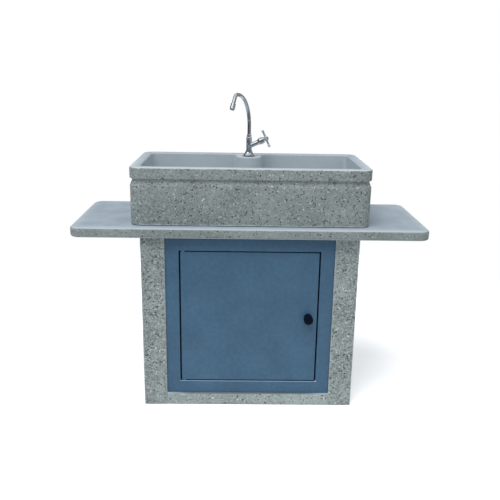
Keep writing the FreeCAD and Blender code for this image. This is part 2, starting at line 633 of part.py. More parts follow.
def make_basin():
    body = doc.addObject("PartDesign::Body", "basin_casting")
    rim_bottom = "(basin_height - rim_band)"
    groove_bottom = f"({rim_bottom} - groove_height)"
    slope_top = f"({groove_bottom} + groove_slope)"
    pad(body, "basin_wall_block", basin_outline("body_inset"), "0", groove_bottom)
    loft(body, "groove_side",
         [(basin_outline("body_inset"), groove_bottom), (basin_outline("groove_inset"), slope_top)])
    pad(body, "groove_neck", basin_outline("groove_inset"), slope_top, f"{rim_bottom} - {slope_top}")
    pad(body, "rim_band_block", basin_outline("0"), rim_bottom, "rim_band")
    top = measure("basin_height")
    lower = measure(rim_bottom)
    outer = measure("basin_width / 2 - groove_inset / 2")
    outer_y = measure("basin_depth / 2 - groove_inset / 2")
    round_edges(body, "rim_outer_edge", "rim_edge_radius", lambda edge: level(edge, top))
    round_edges(body, "rim_lower_edge", "rim_lower_radius",
                lambda edge: level(edge, lower)
                and (abs(middle(edge).x) > outer or abs(middle(edge).y) > outer_y))
    bowl = rounded_rectangle("basin_width - 2 * basin_wall", "basin_depth - 2 * basin_wall",
                             "bowl_corner_radius")
    pad(body, "bowl", bowl, "basin_height", "basin_height - basin_floor", "Pocket")
    front, back = "(basin_depth / 2 - boss_reach)", "(basin_depth / 2 - basin_wall / 2)"
    axis = f"({front} + boss_radius)"
    left, right = f"({TAP_X} - boss_radius)", f"({TAP_X} + boss_radius)"
    column = [(left, back), (left, axis, "-boss_radius"), (TAP_X, front, "-boss_radius"),
              (right, axis), (right, back)]
    pad(body, "tap_column", column, "basin_floor / 2", "basin_height - basin_floor / 2")
    reach, centre = measure("boss_radius"), measure(TAP_X)
    behind = measure(f"{axis} + edge_bevel")
    round_edges(body, "tap_column_roots", "boss_root_radius",
                lambda edge: edge.BoundBox.ZLength > reach and abs(abs(middle(edge).x - centre) - reach) < 0.1
                and middle(edge).y > behind)
    floor = measure("basin_floor")
    round_edges(body, "bowl_floor_edge", "bowl_floor_radius", lambda edge: level(edge, floor))
    inside = measure("basin_width / 2 - basin_wall / 2")
    inside_y = measure("basin_depth / 2 - basin_wall / 2")
    round_edges(body, "bowl_upper_edge", "bowl_edge_radius",
                lambda edge: level(edge, top)
                and abs(middle(edge).x) < inside and abs(middle(edge).y) < inside_y)
    place(body, ("0", BASIN_Y, BASIN_BOTTOM))
    holes = [rod("basin_drain_hole", "waste_hole_radius", "basin_floor", (DRAIN_X, DRAIN_Y, BASIN_BOTTOM)),
             rod("basin_drain_recess", "waste_flange_radius + waste_recess_room", "waste_recess",
                 (DRAIN_X, DRAIN_Y, f"{BASIN_BOTTOM} + basin_floor - waste_recess")),
             rod("basin_tail_hole", "tail_hole_radius", "basin_height", (TAP_X, TAP_Y, BASIN_BOTTOM))]
    piece("basin", cut("basin_drilled", body, holes))


def make_bedding():
    body = doc.addObject("PartDesign::Body", "bedding_layer")
    pad(body, "bedding", basin_outline("bed_setback"), "0", "bed_thickness")
    place(body, ("0", BASIN_Y, SLAB_TOP))
    holes = [rod("bedding_drain_hole", "waste_hole_radius", "bed_thickness", (DRAIN_X, DRAIN_Y, SLAB_TOP)),
             rod("bedding_tail_hole", "tail_hole_radius", "bed_thickness", (TAP_X, TAP_Y, SLAB_TOP))]
    piece("basin_bedding", cut("bedding_drilled", body, holes))


def make_frame_stile(label, word, side):
    z = ("floor_thickness", FRAME_TOP)
    back_of_stop = f"{STOP_Y} + frame_sheet"
    folds = [
        block(f"{word}_stile_face", span(side, STILE_INSIDE, FRAME_HALF),
              (FACE_Y, f"{FACE_Y} + frame_sheet"), z),
        block(f"{word}_stile_outer_return", span(side, f"{FRAME_HALF} - frame_sheet", FRAME_HALF),
              (FACE_Y, f"{FACE_Y} + frame_depth"), z),
        block(f"{word}_stile_inner_return", span(side, STILE_INSIDE, f"{STILE_INSIDE} + frame_sheet"),
              (FACE_Y, back_of_stop), z),
        block(f"{word}_stile_stop", span(side, f"{STILE_INSIDE} - stop_lip", STILE_INSIDE),
              (STOP_Y, back_of_stop), (SILL_TOP, HEAD_BOTTOM)),
    ]
    holes = [rod(f"{word}_stile_{row}_hole", "screw_radius + hole_clearance", "frame_sheet",
                 (signed(side, f"{FRAME_HALF} - frame_sheet"), SCREW_Y, z_hole), outward(side))
             for row, z_hole in SCREW_LEVELS.items()]
    piece(label, cut(f"{word}_stile", join(f"{word}_stile_folds", folds), holes))


def make_frame_rail(label, word, outer, inner, upward):
    """A rail between the stiles. upward is 1 on the sill, whose opening is above it, and -1 on the head."""
    def rise(level_from, distance):
        edges = (level_from, f"{level_from} + ({distance}) * {upward}")
        return edges if measure(distance) * upward > 0 else edges[::-1]

    x = (f"-{STILE_INSIDE}", STILE_INSIDE)
    back_of_stop = f"{STOP_Y} + frame_sheet"
    folds = [
        block(f"{word}_face", x, (FACE_Y, f"{FACE_Y} + frame_sheet"), rise(outer, "frame_bar")),
        block(f"{word}_outer_return", x, (FACE_Y, f"{FACE_Y} + frame_depth"), rise(outer, "frame_sheet")),
        block(f"{word}_inner_return", x, (FACE_Y, back_of_stop), rise(inner, "-frame_sheet")),
        block(f"{word}_stop", (f"stop_lip - {STILE_INSIDE}", f"{STILE_INSIDE} - stop_lip"),
              (STOP_Y, back_of_stop), rise(inner, "stop_lip")),
    ]
    hole = rod(f"{word}_pivot_hole", "pivot_radius + running_clearance", "frame_sheet",
               (PIVOT_X, PIVOT_Y, rise(inner, "-frame_sheet")[0]))
    piece(label, cut(f"{word}_rail", join(f"{word}_folds", folds), [hole]))


def make_frame_fixings():
    screws, plugs = [], []
    for word, side in SIDES.items():
        for row, z in SCREW_LEVELS.items():
            name = f"{word}_{row}"
            seat = f"({FRAME_HALF} - frame_sheet)"
            head = rod(f"{name}_screw_head", "screw_head_radius", "screw_head_height",
                       (signed(side, f"{seat} - screw_head_height"), SCREW_Y, z), outward(side))
            shank = rod(f"{name}_screw_shank", "screw_radius", "screw_length",
                        (signed(side, seat), SCREW_Y, z), outward(side))
            screws.append(join(f"{name}_screw", [head, shank]))
            start = (signed(side, PANEL_INSIDE), SCREW_Y, z)
            plug = rod(f"{name}_plug_outside", "plug_radius", "plug_length", start, outward(side))
            bore = rod(f"{name}_plug_bore", "screw_radius + dowel_clearance / 2", "screw_length",
                       start, outward(side))
            plugs.append(cut(f"{name}_plug", plug, [bore]))
    piece("frame_screws", group("frame_screw_group", screws))
    piece("wall_plugs", group("wall_plug_group", plugs))


def make_door_leaf():
    body = doc.addObject("PartDesign::Body", "leaf_pan")
    sheet_height = f"{LEAF_HEIGHT} / 2"
    leaf = rectangle(f"-{LEAF_HALF}", LEAF_HALF, f"-{sheet_height}", sheet_height)
    pad(body, "leaf_blank", leaf, "0", "leaf_depth")
    flat = measure("leaf_depth")
    round_edges(body, "leaf_folds", "leaf_edge_radius", lambda edge: level(edge, flat))
    place(body, ("0", f"{FACE_Y} + leaf_depth", LEAF_MIDDLE), TURN["-y"])

    def hollow(name, inset, front, back):
        half = f"({LEAF_HALF} - {inset})"
        return block(name, (f"-{half}", half), (front, back),
                     (f"{LEAF_BOTTOM} + {inset}", f"{LEAF_TOP} - {inset}"))

    back = f"({FACE_Y} + leaf_depth)"
    pin_hole = "pivot_radius + hole_clearance"
    cutters = [
        hollow("leaf_hollow", "leaf_sheet", f"{FACE_Y} + leaf_sheet", f"{back} - leaf_sheet"),
        hollow("leaf_back_opening", "leaf_flange", f"{back} - leaf_sheet", back),
        rod("leaf_bush_hole", "bush_radius + hole_clearance", "leaf_sheet",
            (KNOB_X, FACE_Y, KNOB_Z), "+y"),
        rod("leaf_lower_pin_hole", pin_hole, "leaf_sheet", (PIVOT_X, PIVOT_Y, LEAF_BOTTOM)),
        rod("leaf_upper_pin_hole", pin_hole, "leaf_sheet", (PIVOT_X, PIVOT_Y, f"{LEAF_TOP} - leaf_sheet")),
    ]
    piece("door_leaf", cut("leaf", body, cutters))


def make_pivots():
    shank = "(leaf_sheet + end_gap + frame_sheet + pivot_reach)"
    profile = [("0", "0"), ("pivot_radius", "0"), ("pivot_radius", shank), ("pin_head_radius", shank),
               ("pin_head_radius", f"{shank} + pin_head_height"), ("0", f"{shank} + pin_head_height")]
    lower_end = (PIVOT_X, PIVOT_Y, f"{LEAF_BOTTOM} + leaf_sheet - {shank}")
    upper_end = (PIVOT_X, PIVOT_Y, f"{LEAF_TOP} - leaf_sheet + {shank}")
    piece("lower_pivot_pin", turned("lower_pin", profile, lower_end))
    piece("upper_pivot_pin", turned("upper_pin", profile, upper_end, TURN["-z"]))
    bore = "pivot_radius + hole_clearance"
    piece("lower_pivot_washer", ring("lower_washer", bore, "pivot_washer_radius", "end_gap",
                                     (PIVOT_X, PIVOT_Y, SILL_TOP)))
    piece("upper_pivot_washer", ring("upper_washer", bore, "pivot_washer_radius", "end_gap - washer_slack",
                                     (PIVOT_X, PIVOT_Y, LEAF_TOP)))


def make_latch():
    at_face = (KNOB_X, FACE_Y, KNOB_Z)
    bore = "spindle_radius + running_clearance"
    bush = [(bore, "-bush_length"), ("bush_radius", "-bush_length"), ("bush_radius", "0"),
            ("bush_flange_radius", "0"), ("bush_flange_radius", "bush_flange"), (bore, "bush_flange")]
    piece("latch_bush", turned("bush", bush, at_face, TURN["-y"]))
    piece("latch_bush_nut", hexagon_nut("bush_nut", "bush_nut_across", "bush_radius + hole_clearance",
                                        "bush_nut_height", (KNOB_X, f"{FACE_Y} + leaf_sheet", KNOB_Z),
                                        TURN["+y"]))
    length = "(knob_reach - bush_flange - knob_gap)"
    socket = "spindle_radius + hole_clearance / 2"
    drum = [(socket, "0"), ("knob_foot_radius", "0"),
            ("knob_radius", f"{length} - knob_front_radius", "-knob_front_radius"),
            ("knob_radius - knob_front_radius", length),
            ("0", length), ("0", "knob_socket"), (socket, "knob_socket")]
    knob_foot = (KNOB_X, f"{FACE_Y} - bush_flange - knob_gap", KNOB_Z)
    piece("door_knob", turned("knob", drum, knob_foot, TURN["-y"]))
    front = f"({FACE_Y} - bush_flange - knob_gap - knob_socket)"
    half = "spindle_square / 2"
    cam_back = f"({CAM_Y} + cam_thickness)"

    def square(name, room, y):
        side = f"({half} + {room})"
        return block(name, (f"{KNOB_X} - {side}", f"{KNOB_X} + {side}"), y,
                     (f"{KNOB_Z} - {side}", f"{KNOB_Z} + {side}"))

    cam_axis = (KNOB_X, CAM_Y, KNOB_Z)
    parts = [rod("spindle_shaft", "spindle_radius", f"{CAM_Y} - {front}", (KNOB_X, front, KNOB_Z), "+y"),
             square("spindle_end", "0", (CAM_Y, f"{cam_back} - hole_clearance")),
             rod("spindle_thread", "cam_nut_radius", "cam_thickness + cam_thread", cam_axis, "+y")]
    piece("latch_spindle", join("spindle", parts))
    radius = "(cam_width / 2)"
    tip = f"{KNOB_Z} - cam_length + {radius}"
    plate = [block("cam_bar", (f"{KNOB_X} - {radius}", f"{KNOB_X} + {radius}"), (CAM_Y, cam_back),
                   (tip, KNOB_Z)),
             rod("cam_eye", radius, "cam_thickness", cam_axis, "+y"),
             rod("cam_tip", radius, "cam_thickness", (KNOB_X, CAM_Y, tip), "+y")]
    piece("latch_cam", cut("cam", join("cam_plate", plate),
                           [square("cam_hole", "hole_clearance / 2", (CAM_Y, cam_back))]))
    piece("latch_cam_nut", hexagon_nut("cam_nut", "cam_nut_across", "cam_nut_radius + hole_clearance / 2",
                                       "cam_nut_height", (KNOB_X, cam_back, KNOB_Z), TURN["+y"]))
    gap = "(stop_depth - leaf_depth - bumper_gap)"
    buffers = [rod(f"bumper_{number}", "bumper_radius", gap,
                   (f"{STILE_INSIDE} - stop_lip / 2", f"{STOP_Y} - {gap}", f"{LEAF_MIDDLE} + {shift}"), "+y")
               for number, shift in enumerate(("bumper_spread / 2", "-bumper_spread / 2"))]
    piece("door_bumpers", group("bumper_group", buffers))


def make_tap_foot():
    seat = f"({RIM} + tap_gasket_height)"
    piece("tap_gasket", ring("foot_gasket", "tail_hole_radius", "tap_flange_radius", "tap_gasket_height",
                             (TAP_X, TAP_Y, RIM)))
    bore = "tap_shank_radius + hole_clearance"
    bell = [(bore, "0"), ("tap_flange_radius", "0"),
            ("tap_flange_radius", "tap_flange_lip", "tap_flange_height"),
            ("tap_neck_radius", "tap_flange_height - tap_flange_lip"),
            ("tap_neck_radius", "tap_flange_height"), (bore, "tap_flange_height")]
    piece("tap_base_flange", turned("bell_flange", bell, (TAP_X, TAP_Y, seat)))
    end = "(base_height - tail_free)"
    shoulder, top = f"({seat} - {end})", f"({seat} + tail_socket - {end})"
    waterway = "tail_radius - tail_wall"
    tail = [(waterway, "0"), ("tail_radius", "0"), ("tail_radius", "tail_thread"),
            ("tail_shank_radius", "tail_thread"), ("tail_shank_radius", shoulder),
            ("tail_spigot_radius", shoulder), ("tail_spigot_radius", top), (waterway, top)]
    piece("tap_tail", turned("threaded_tail", tail, (TAP_X, TAP_Y, end)))
    bore = "tail_shank_radius + hole_clearance"
    washer_z = "(base_height - washer_thickness)"
    piece("tail_washer", ring("tail_ring", bore, "tail_washer_radius", "washer_thickness",
                              (TAP_X, TAP_Y, washer_z)))
    piece("tail_nut", hexagon_nut("back_nut", "tail_nut_across", bore, "tail_nut_height",
                                  (TAP_X, TAP_Y, f"{washer_z} - tail_nut_height")))


def make_tap_body():
    seat = f"({RIM} + tap_gasket_height)"
    thread = f"({RIM} + tap_body_top - collar_thread)"
    root = (TAP_X, TAP_Y, f"{RIM} + branch_height")
    solid = [
        rod("tap_shank", "tap_shank_radius", "tap_shank_top - tap_gasket_height", (TAP_X, TAP_Y, seat)),
        rod("tap_barrel", "tap_body_radius", f"{thread} - {seat}", (TAP_X, TAP_Y, seat)),
        rod("tap_thread", "collar_thread_radius", f"{RIM} + tap_body_top - {seat}", (TAP_X, TAP_Y, seat)),
        place(rod("tap_branch", "branch_radius", "branch_length", root), root, BRANCH_TURN),
    ]
    foot = f"({RIM} + tap_body_top - spout_foot)"
    bores = [
        rod("tap_tail_socket", "tail_spigot_radius + hole_clearance", "tail_socket", (TAP_X, TAP_Y, seat)),
        rod("tap_waterway", "waterway_radius", f"{RIM} + tap_body_top - {seat}", (TAP_X, TAP_Y, seat)),
        rod("tap_spout_socket", "spout_radius + running_clearance", "spout_foot", (TAP_X, TAP_Y, foot)),
        place(rod("tap_port", "waterway_radius", "branch_length", root), root, BRANCH_TURN),
        turned("tap_chamber", rectangle("0", "chamber_radius", "chamber_start", "branch_length"),
               root, BRANCH_TURN),
    ]
    piece("tap_body", cut("tap_casting", join("tap_solid", solid), bores))


def make_spout():
    base = f"({RIM} + tap_body_top)"
    shoulder = "(spout_flange + hole_clearance)"
    lap, height = "collar_thread", "(collar_top - tap_body_top)"
    inside = "collar_thread_radius + hole_clearance"
    bore = "spout_radius + hole_clearance"
    collar = [(inside, f"-{lap}"), ("collar_radius", f"-{lap}"), ("collar_radius", shoulder),
              ("collar_top_radius", f"{shoulder} + collar_radius - collar_top_radius"),
              ("collar_top_radius", f"{height} - edge_bevel"), ("collar_top_radius - edge_bevel", height),
              (bore, height), (bore, shoulder), (inside, shoulder)]
    piece("spout_collar", turned("collar", collar, (TAP_X, TAP_Y, base)))

    body = doc.addObject("PartDesign::Body", "swan_neck")
    top = f"({RIM} + spout_straight_top - {base})"
    fall = "spout_fall_angle"
    drop_x = f"(spout_rise_radius + spout_fall_radius * sin({fall}))"
    drop_z = f"({top} + spout_rise_radius - spout_fall_radius * (1 - cos({fall})))"
    tip_x = f"({drop_x} + spout_nozzle * cos({fall}))"
    tip_z = f"({drop_z} - spout_nozzle * sin({fall}))"
    path = [("0", "-spout_foot"), ("0", top, "spout_rise_radius"),
            ("spout_rise_radius", f"{top} + spout_rise_radius", "spout_fall_radius"),
            (drop_x, drop_z), (tip_x, tip_z)]
    spine = outline(sketch(body, "swan_neck_path", "XZ_Plane"), path, closed=False)
    doc.recompute()

    def pipe(name, kind, radius):
        feature = body.newObject(f"PartDesign::{kind}Pipe", name)
        feature.Profile = circle(sketch(body, name + "_section", "XY_Plane", "-spout_foot"), radius)
        feature.Spine = (spine, [f"Edge{number + 1}" for number in range(len(path) - 1)])
        doc.recompute()

    pipe("swan_neck_tube", "Additive", "spout_radius")
    ring_profile = rectangle("spout_radius - spout_wall", "spout_flange_radius", "0", "spout_flange")
    drawing = outline(sketch(body, "swan_neck_ring_profile", "XZ_Plane"), ring_profile)
    held_ring = body.newObject("PartDesign::Revolution", "swan_neck_ring")
    held_ring.Profile = drawing
    held_ring.ReferenceAxis = (drawing, ["V_Axis"])
    held_ring.Angle = 360
    doc.recompute()
    pipe("swan_neck_bore", "Subtractive", "spout_radius - spout_wall")
    heading = "(-90 - spout_turn)"
    sweep = f"rotation(vector(0; 0; 1); {heading})"
    piece("spout", place(body, (TAP_X, TAP_Y, base), sweep))

    nozzle = (f"{TAP_X} + {tip_x} * cos({heading})", f"{TAP_Y} + {tip_x} * sin({heading})",
              f"{base} + {tip_z}")
    nozzle_turn = f"{sweep} * rotation(vector(0; 1; 0); 90 + {fall})"
    bore = "spout_radius + hole_clearance / 2"
    mouth = "(aerator_radius - aerator_rim)"
    sleeve = [(bore, "-aerator_length"),
              ("aerator_radius - edge_bevel", "-aerator_length"),
              ("aerator_radius", "edge_bevel - aerator_length"),
              ("aerator_radius", "aerator_lip - edge_bevel"),
              ("aerator_radius - edge_bevel", "aerator_lip"),
              (mouth, "aerator_lip"), (mouth, "0"), (bore, "0")]
    piece("aerator_sleeve", turned("nozzle_sleeve", sleeve, nozzle, nozzle_turn))
    disc = rectangle("0", f"{mouth} - hole_clearance / 2", "0", "screen_thickness")
    piece("aerator_screen", turned("nozzle_screen", disc, nozzle, nozzle_turn))


def make_valve():
    root = (TAP_X, TAP_Y, f"{RIM} + branch_height")
    disc_top = "(chamber_start + disc_thickness)"
    foot = f"({disc_top} + disc_thickness)"
    foot_top = f"({foot} + valve_foot)"
    bonnet_top = "(branch_length + bonnet_length)"
    hub = f"({bonnet_top} + handle_gap)"
    end = f"({hub} + spindle_socket)"
    web = f"({end} + hole_clearance)"
    recess = f"({web} + hub_web)"
    hub_top = f"({hub} + hub_height)"

    def along_branch(label, profile):
        piece(label, turned(label + "_turned", profile, root, BRANCH_TURN))

    along_branch("fixed_disc", rectangle("0", "disc_radius", "chamber_start", disc_top))
    along_branch("moving_disc", rectangle("0", "disc_radius", disc_top, foot))
    pilot = "handle_screw_radius + hole_clearance / 2"
    along_branch("valve_spindle", [
        ("0", foot), ("valve_foot_radius", foot), ("valve_foot_radius", foot_top),
        ("valve_spindle_radius", foot_top), ("valve_spindle_radius", end), (pilot, end),
        (pilot, f"{end} - screw_pilot_depth"), ("0", f"{end} - screw_pilot_depth")])
    bore = "valve_spindle_radius + running_clearance"
    spigot = "chamber_radius - hole_clearance"
    spigot_end = f"({foot_top} + hole_clearance)"
    along_branch("valve_bonnet", [
        (bore, spigot_end), (spigot, spigot_end),
        (spigot, "branch_length"), ("branch_radius", "branch_length"),
        ("bonnet_radius", "branch_length + bonnet_flare"),
        ("bonnet_radius", f"{bonnet_top} - bonnet_round", "-bonnet_round"),
        ("bonnet_top_radius", bonnet_top), (bore, bonnet_top)])
    socket = "valve_spindle_radius + hole_clearance / 2"
    pocket = "cap_radius + hole_clearance"
    shank = "handle_screw_radius + hole_clearance"

    parts = [turned("hub", [
        (socket, hub), ("hub_radius - edge_bevel", hub), ("hub_radius", f"{hub} + hub_bevel"),
        ("hub_radius", f"{hub_top} - hub_bevel"), ("hub_radius - edge_bevel", hub_top), (pocket, hub_top),
        (pocket, recess), (shank, recess), (shank, web), (socket, web)], ("0", "0", "0"))]
    arm_start = "(hub_radius - edge_bevel)"
    ball = "(arm_reach - arm_end_radius)"
    arm = [("0", arm_start), ("arm_radius", arm_start), ("arm_radius", f"{ball} - arm_end_radius"),
           ("arm_end_radius", ball, "-arm_end_radius"), ("0", "arm_reach")]
    parts += [turned(f"arm_{angle}", arm, ("0", "0", f"{hub} + arm_height"),
                     f"rotation(vector(0; 0; 1); {angle}) * {TURN['+x']}")
              for angle in range(0, 360, 90)]
    handle_turn = f"{BRANCH_TURN} * rotation(vector(0; 0; 1); handle_twist)"
    piece("cross_handle", place(join("cross_handle_casting", parts), root, handle_turn))

    screw_tip = f"({end} - screw_pilot_depth + edge_bevel)"
    screw_top = f"({recess} + handle_screw_head)"
    along_branch("handle_screw", [
        ("0", screw_tip), ("handle_screw_radius", screw_tip),
        ("handle_screw_radius", recess), ("handle_screw_head_radius", recess),
        ("handle_screw_head_radius", screw_top), ("0", screw_top)])
    crown_radius = "((cap_radius * cap_radius + cap_crown * cap_crown) / 2 / cap_crown)"
    along_branch("handle_cap", [
        ("0", f"{recess} + cap_seat"), ("cap_radius", f"{recess} + cap_seat"),
        ("cap_radius", hub_top, f"-{crown_radius}"), ("0", f"{hub_top} + cap_crown")])


def make_waste():
    seat = f"({BASIN_BOTTOM} + basin_floor - waste_recess)"
    piece("waste_gasket", ring("waste_ring", "waste_hole_radius", "waste_flange_radius", "waste_gasket",
                               (DRAIN_X, DRAIN_Y, seat)))
    flange = f"({seat} + waste_gasket - {WASTE_END})"
    top = f"({flange} + waste_flange)"
    rebate = "(waste_bore_radius + strainer_seat)"
    tube = [("waste_bore_radius", "0"), ("waste_thread_radius", "0"), ("waste_thread_radius", flange),
            ("waste_flange_radius", flange), ("waste_flange_radius", f"{top} - waste_flange / 2"),
            ("waste_flange_radius - waste_flange", top), (rebate, top),
            (rebate, f"{top} - strainer_thickness"), ("waste_bore_radius", f"{top} - strainer_thickness")]
    piece("waste_fitting", turned("waste_tube", tube, (DRAIN_X, DRAIN_Y, WASTE_END)))
    disc_z = f"({seat} + waste_gasket + waste_flange - strainer_thickness)"
    disc = rod("strainer_disc", f"{rebate} - hole_clearance", "strainer_thickness",
               (DRAIN_X, DRAIN_Y, disc_z))
    holes = [rod(f"strainer_hole_{radius}_{angle}", "strainer_hole_radius", "strainer_thickness",
                 (f"{DRAIN_X} + {radius} * cos({angle})", f"{DRAIN_Y} + {radius} * sin({angle})", disc_z))
             for radius, step in (("strainer_ring_radius", 36), ("strainer_inner_ring", 72))
             for angle in range(0, 360, step)]
    piece("waste_strainer", cut("strainer", disc, holes))
    bore = "waste_thread_radius + hole_clearance"
    washer_z = "(base_height - washer_thickness)"
    piece("waste_washer", ring("waste_plate", bore, "waste_washer_radius", "washer_thickness",
                               (DRAIN_X, DRAIN_Y, washer_z)))
    piece("waste_nut", hexagon_nut("waste_back_nut", "waste_nut_across", bore, "waste_nut_height",
                                   (DRAIN_X, DRAIN_Y, f"{washer_z} - waste_nut_height")))


def make_trap():
    axis = (DRAIN_X, DRAIN_Y, WASTE_END)
    collar_radius = "(waste_thread_radius - hole_clearance)"
    pipe, bore = "trap_pipe_radius", "(trap_pipe_radius - trap_wall)"
    collar = "(-trap_washer)"
    collar_low = f"({collar} - trap_collar)"
    shell_top = f"({collar_low} - trap_neck)"
    shell_low = f"({shell_top} - bottle_length)"
    shell_in = "(bottle_radius - trap_wall)"
    piece("trap_washer", ring("trap_ring", bore, collar_radius, "trap_washer",
                              (DRAIN_X, DRAIN_Y, f"{WASTE_END} - trap_washer")))
    bottle = turned("bottle", [
        (bore, collar), (collar_radius, collar), (collar_radius, collar_low), (pipe, collar_low),
        (pipe, shell_top), ("bottle_radius", shell_top), ("bottle_radius", shell_low), (shell_in, shell_low),
        (shell_in, f"{shell_top} - trap_wall"), (pipe, f"{shell_top} - trap_wall"),
        (pipe, f"{shell_low} - dip_length"), (bore, f"{shell_low} - dip_length")], axis)
    stub_radius = "(trap_pipe_radius + trap_wall)"
    outlet = "outlet_run_radius + hole_clearance"
    stub = rod("outlet_stub", stub_radius, f"{STUB_END} - {DRAIN_Y} - {pipe} - trap_wall",
               (DRAIN_X, f"{DRAIN_Y} + {pipe} + trap_wall", OUTLET_Z), "+y")
    room = ring("bottle_room", pipe, shell_in, "bottle_length - trap_wall", (DRAIN_X, DRAIN_Y, BOTTLE_BOTTOM))
    bored = cut("stub_bored", stub, [rod("outlet_stub_bore", outlet, f"{STUB_END} - {DRAIN_Y}",
                                         (DRAIN_X, DRAIN_Y, OUTLET_Z), "+y"), room])
    hole = rod("bottle_outlet_hole", outlet, "bottle_radius - trap_pipe_radius - trap_wall",
               (DRAIN_X, f"{DRAIN_Y} + trap_pipe_radius + trap_wall", OUTLET_Z), "+y")
    piece("trap_body", join("trap", [cut("bottle_bored", bottle, [hole]), bored]))

    nut_bore = "waste_thread_radius + hole_clearance"
    low = f"({collar_low} - union_nut_shoulder)"
    piece("trap_union_nut", turned("union_nut", [
        (f"{pipe} + hole_clearance", low), ("union_nut_radius", low), ("union_nut_radius", "union_nut_lap"),
        (nut_bore, "union_nut_lap"), (nut_bore, collar_low), (f"{pipe} + hole_clearance", collar_low)], axis))
    seal_low = "(-trap_seal)"
    piece("trap_seal", ring("bottle_ring", shell_in, "bottle_radius", "trap_seal",
                            (DRAIN_X, DRAIN_Y, f"{BOTTLE_BOTTOM} - trap_seal")))
    grip = "bottle_radius + hole_clearance"
    bottom = f"({seal_low} - cup_depth)"
    piece("trap_cup", turned("cup", [
        ("0", bottom), ("bottle_radius - cup_taper", bottom), ("bottle_radius", f"{bottom} + cup_taper"),
        ("bottle_radius", f"{seal_low} - trap_wall"), ("cup_radius", seal_low), ("cup_radius", "cup_lap"),
        (grip, "cup_lap"), (grip, seal_low), (shell_in, seal_low),
        (shell_in, f"{bottom} + trap_wall + cup_taper"), (f"{shell_in} - cup_taper", f"{bottom} + trap_wall"),
        ("0", f"{bottom} + trap_wall")], (DRAIN_X, DRAIN_Y, BOTTLE_BOTTOM)))

    nut_out = f"({stub_radius} + outlet_nut_wall)"
    nut_in = f"{stub_radius} + hole_clearance"
    piece("outlet_nut", turned("slip_nut", [
        (nut_in, "-outlet_nut_lap"), (nut_out, "-outlet_nut_lap"), (nut_out, "outlet_nut_cap"),
        (outlet, "outlet_nut_cap"), (outlet, "0"), (nut_in, "0")], (DRAIN_X, STUB_END, OUTLET_Z), TURN["+y"]))
    pipe_start = f"({DRAIN_Y} + bottle_radius)"
    pipe_bore = "outlet_run_radius - outlet_pipe_wall"
    pipe_end = f"({BASE_BACK} + outlet_pipe_reach - {pipe_start})"
    spigot = f"({pipe_end} - outlet_spigot)"
    piece("outlet_pipe", turned("waste_pipe", [
        (pipe_bore, "0"), ("outlet_run_radius", "0"), ("outlet_run_radius", spigot), (pipe, spigot),
        (pipe, pipe_end), (pipe_bore, pipe_end)], (DRAIN_X, pipe_start, OUTLET_Z), TURN["+y"]))
    piece("outlet_rosette", ring("cover_ring", f"{pipe} + hole_clearance", "rosette_radius",
                                 "rosette_thickness",
                                 (DRAIN_X, f"{BACK_FRONT} - rosette_thickness", OUTLET_Z), TURN["+y"]))


for word, side in SIDES.items():
    make_side_panel(word, side)
make_floor_slab()
make_back_panel()
make_worktop_slab()
make_dowels()
make_basin()
make_bedding()
make_frame_stile("frame_hinge_stile", "hinge", SIDES["left"])
make_frame_stile("frame_latch_stile", "latch", SIDES["right"])
make_frame_rail("frame_sill_rail", "sill", "floor_thickness", SILL_TOP, 1)
make_frame_rail("frame_head_rail", "head", FRAME_TOP, HEAD_BOTTOM, -1)
make_frame_fixings()
make_door_leaf()
make_pivots()
make_latch()
make_tap_foot()
make_tap_body()
make_spout()
make_valve()
make_waste()
make_trap()

# Check every object, then write the sub-parts
doc.recompute()
for item in doc.Objects:
    if "Invalid" in item.State or "Error" in item.State:
        raise RuntimeError(f"{item.Label} failed: {item.State}")
for item in pieces:
    if item.Shape.isNull() or not item.Shape.isValid() or not item.Shape.Solids:
        raise RuntimeError(f"{item.Label} has no valid solid")

os.makedirs("parts", exist_ok=True)
for item in pieces:
    item.Shape.exportStep(f"parts/{item.Label}.step")
    print(f"{item.Label}: {len(item.Shape.Solids)} solids, {item.Shape.Volume / 1000:.1f} cm3")
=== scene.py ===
"""Finishes, small fittings and stage for a concrete sink cabinet with a steel door and a swan-neck tap."""
from functools import partial
import json
import math

import bpy
from mathutils import Matrix, Vector


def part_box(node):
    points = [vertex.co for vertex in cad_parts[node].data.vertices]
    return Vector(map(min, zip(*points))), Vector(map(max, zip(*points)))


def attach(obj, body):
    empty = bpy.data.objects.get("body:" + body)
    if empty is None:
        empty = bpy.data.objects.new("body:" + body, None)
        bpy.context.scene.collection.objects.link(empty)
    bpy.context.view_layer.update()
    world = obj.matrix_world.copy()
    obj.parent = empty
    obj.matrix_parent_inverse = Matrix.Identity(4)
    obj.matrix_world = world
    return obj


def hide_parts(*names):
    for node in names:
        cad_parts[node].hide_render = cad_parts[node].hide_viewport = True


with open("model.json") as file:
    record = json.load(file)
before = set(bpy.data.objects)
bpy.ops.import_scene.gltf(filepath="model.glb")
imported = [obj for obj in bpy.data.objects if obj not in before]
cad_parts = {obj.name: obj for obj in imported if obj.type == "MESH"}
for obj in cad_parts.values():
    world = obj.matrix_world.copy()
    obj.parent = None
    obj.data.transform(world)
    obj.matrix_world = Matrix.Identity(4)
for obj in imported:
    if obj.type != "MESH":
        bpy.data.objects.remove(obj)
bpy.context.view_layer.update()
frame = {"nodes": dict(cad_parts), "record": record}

bl_info = {
    "name": "Sink cabinet",
    "version": (1, 0, 0),
    "blender": (4, 5, 0),
    "location": "3D View > Sidebar > Sink cabinet",
    "description": "Dresses a concrete sink cabinet with its finishes, fittings and stage",
    "category": "Object",
}

NODES = frame["nodes"]
MM = 0.001


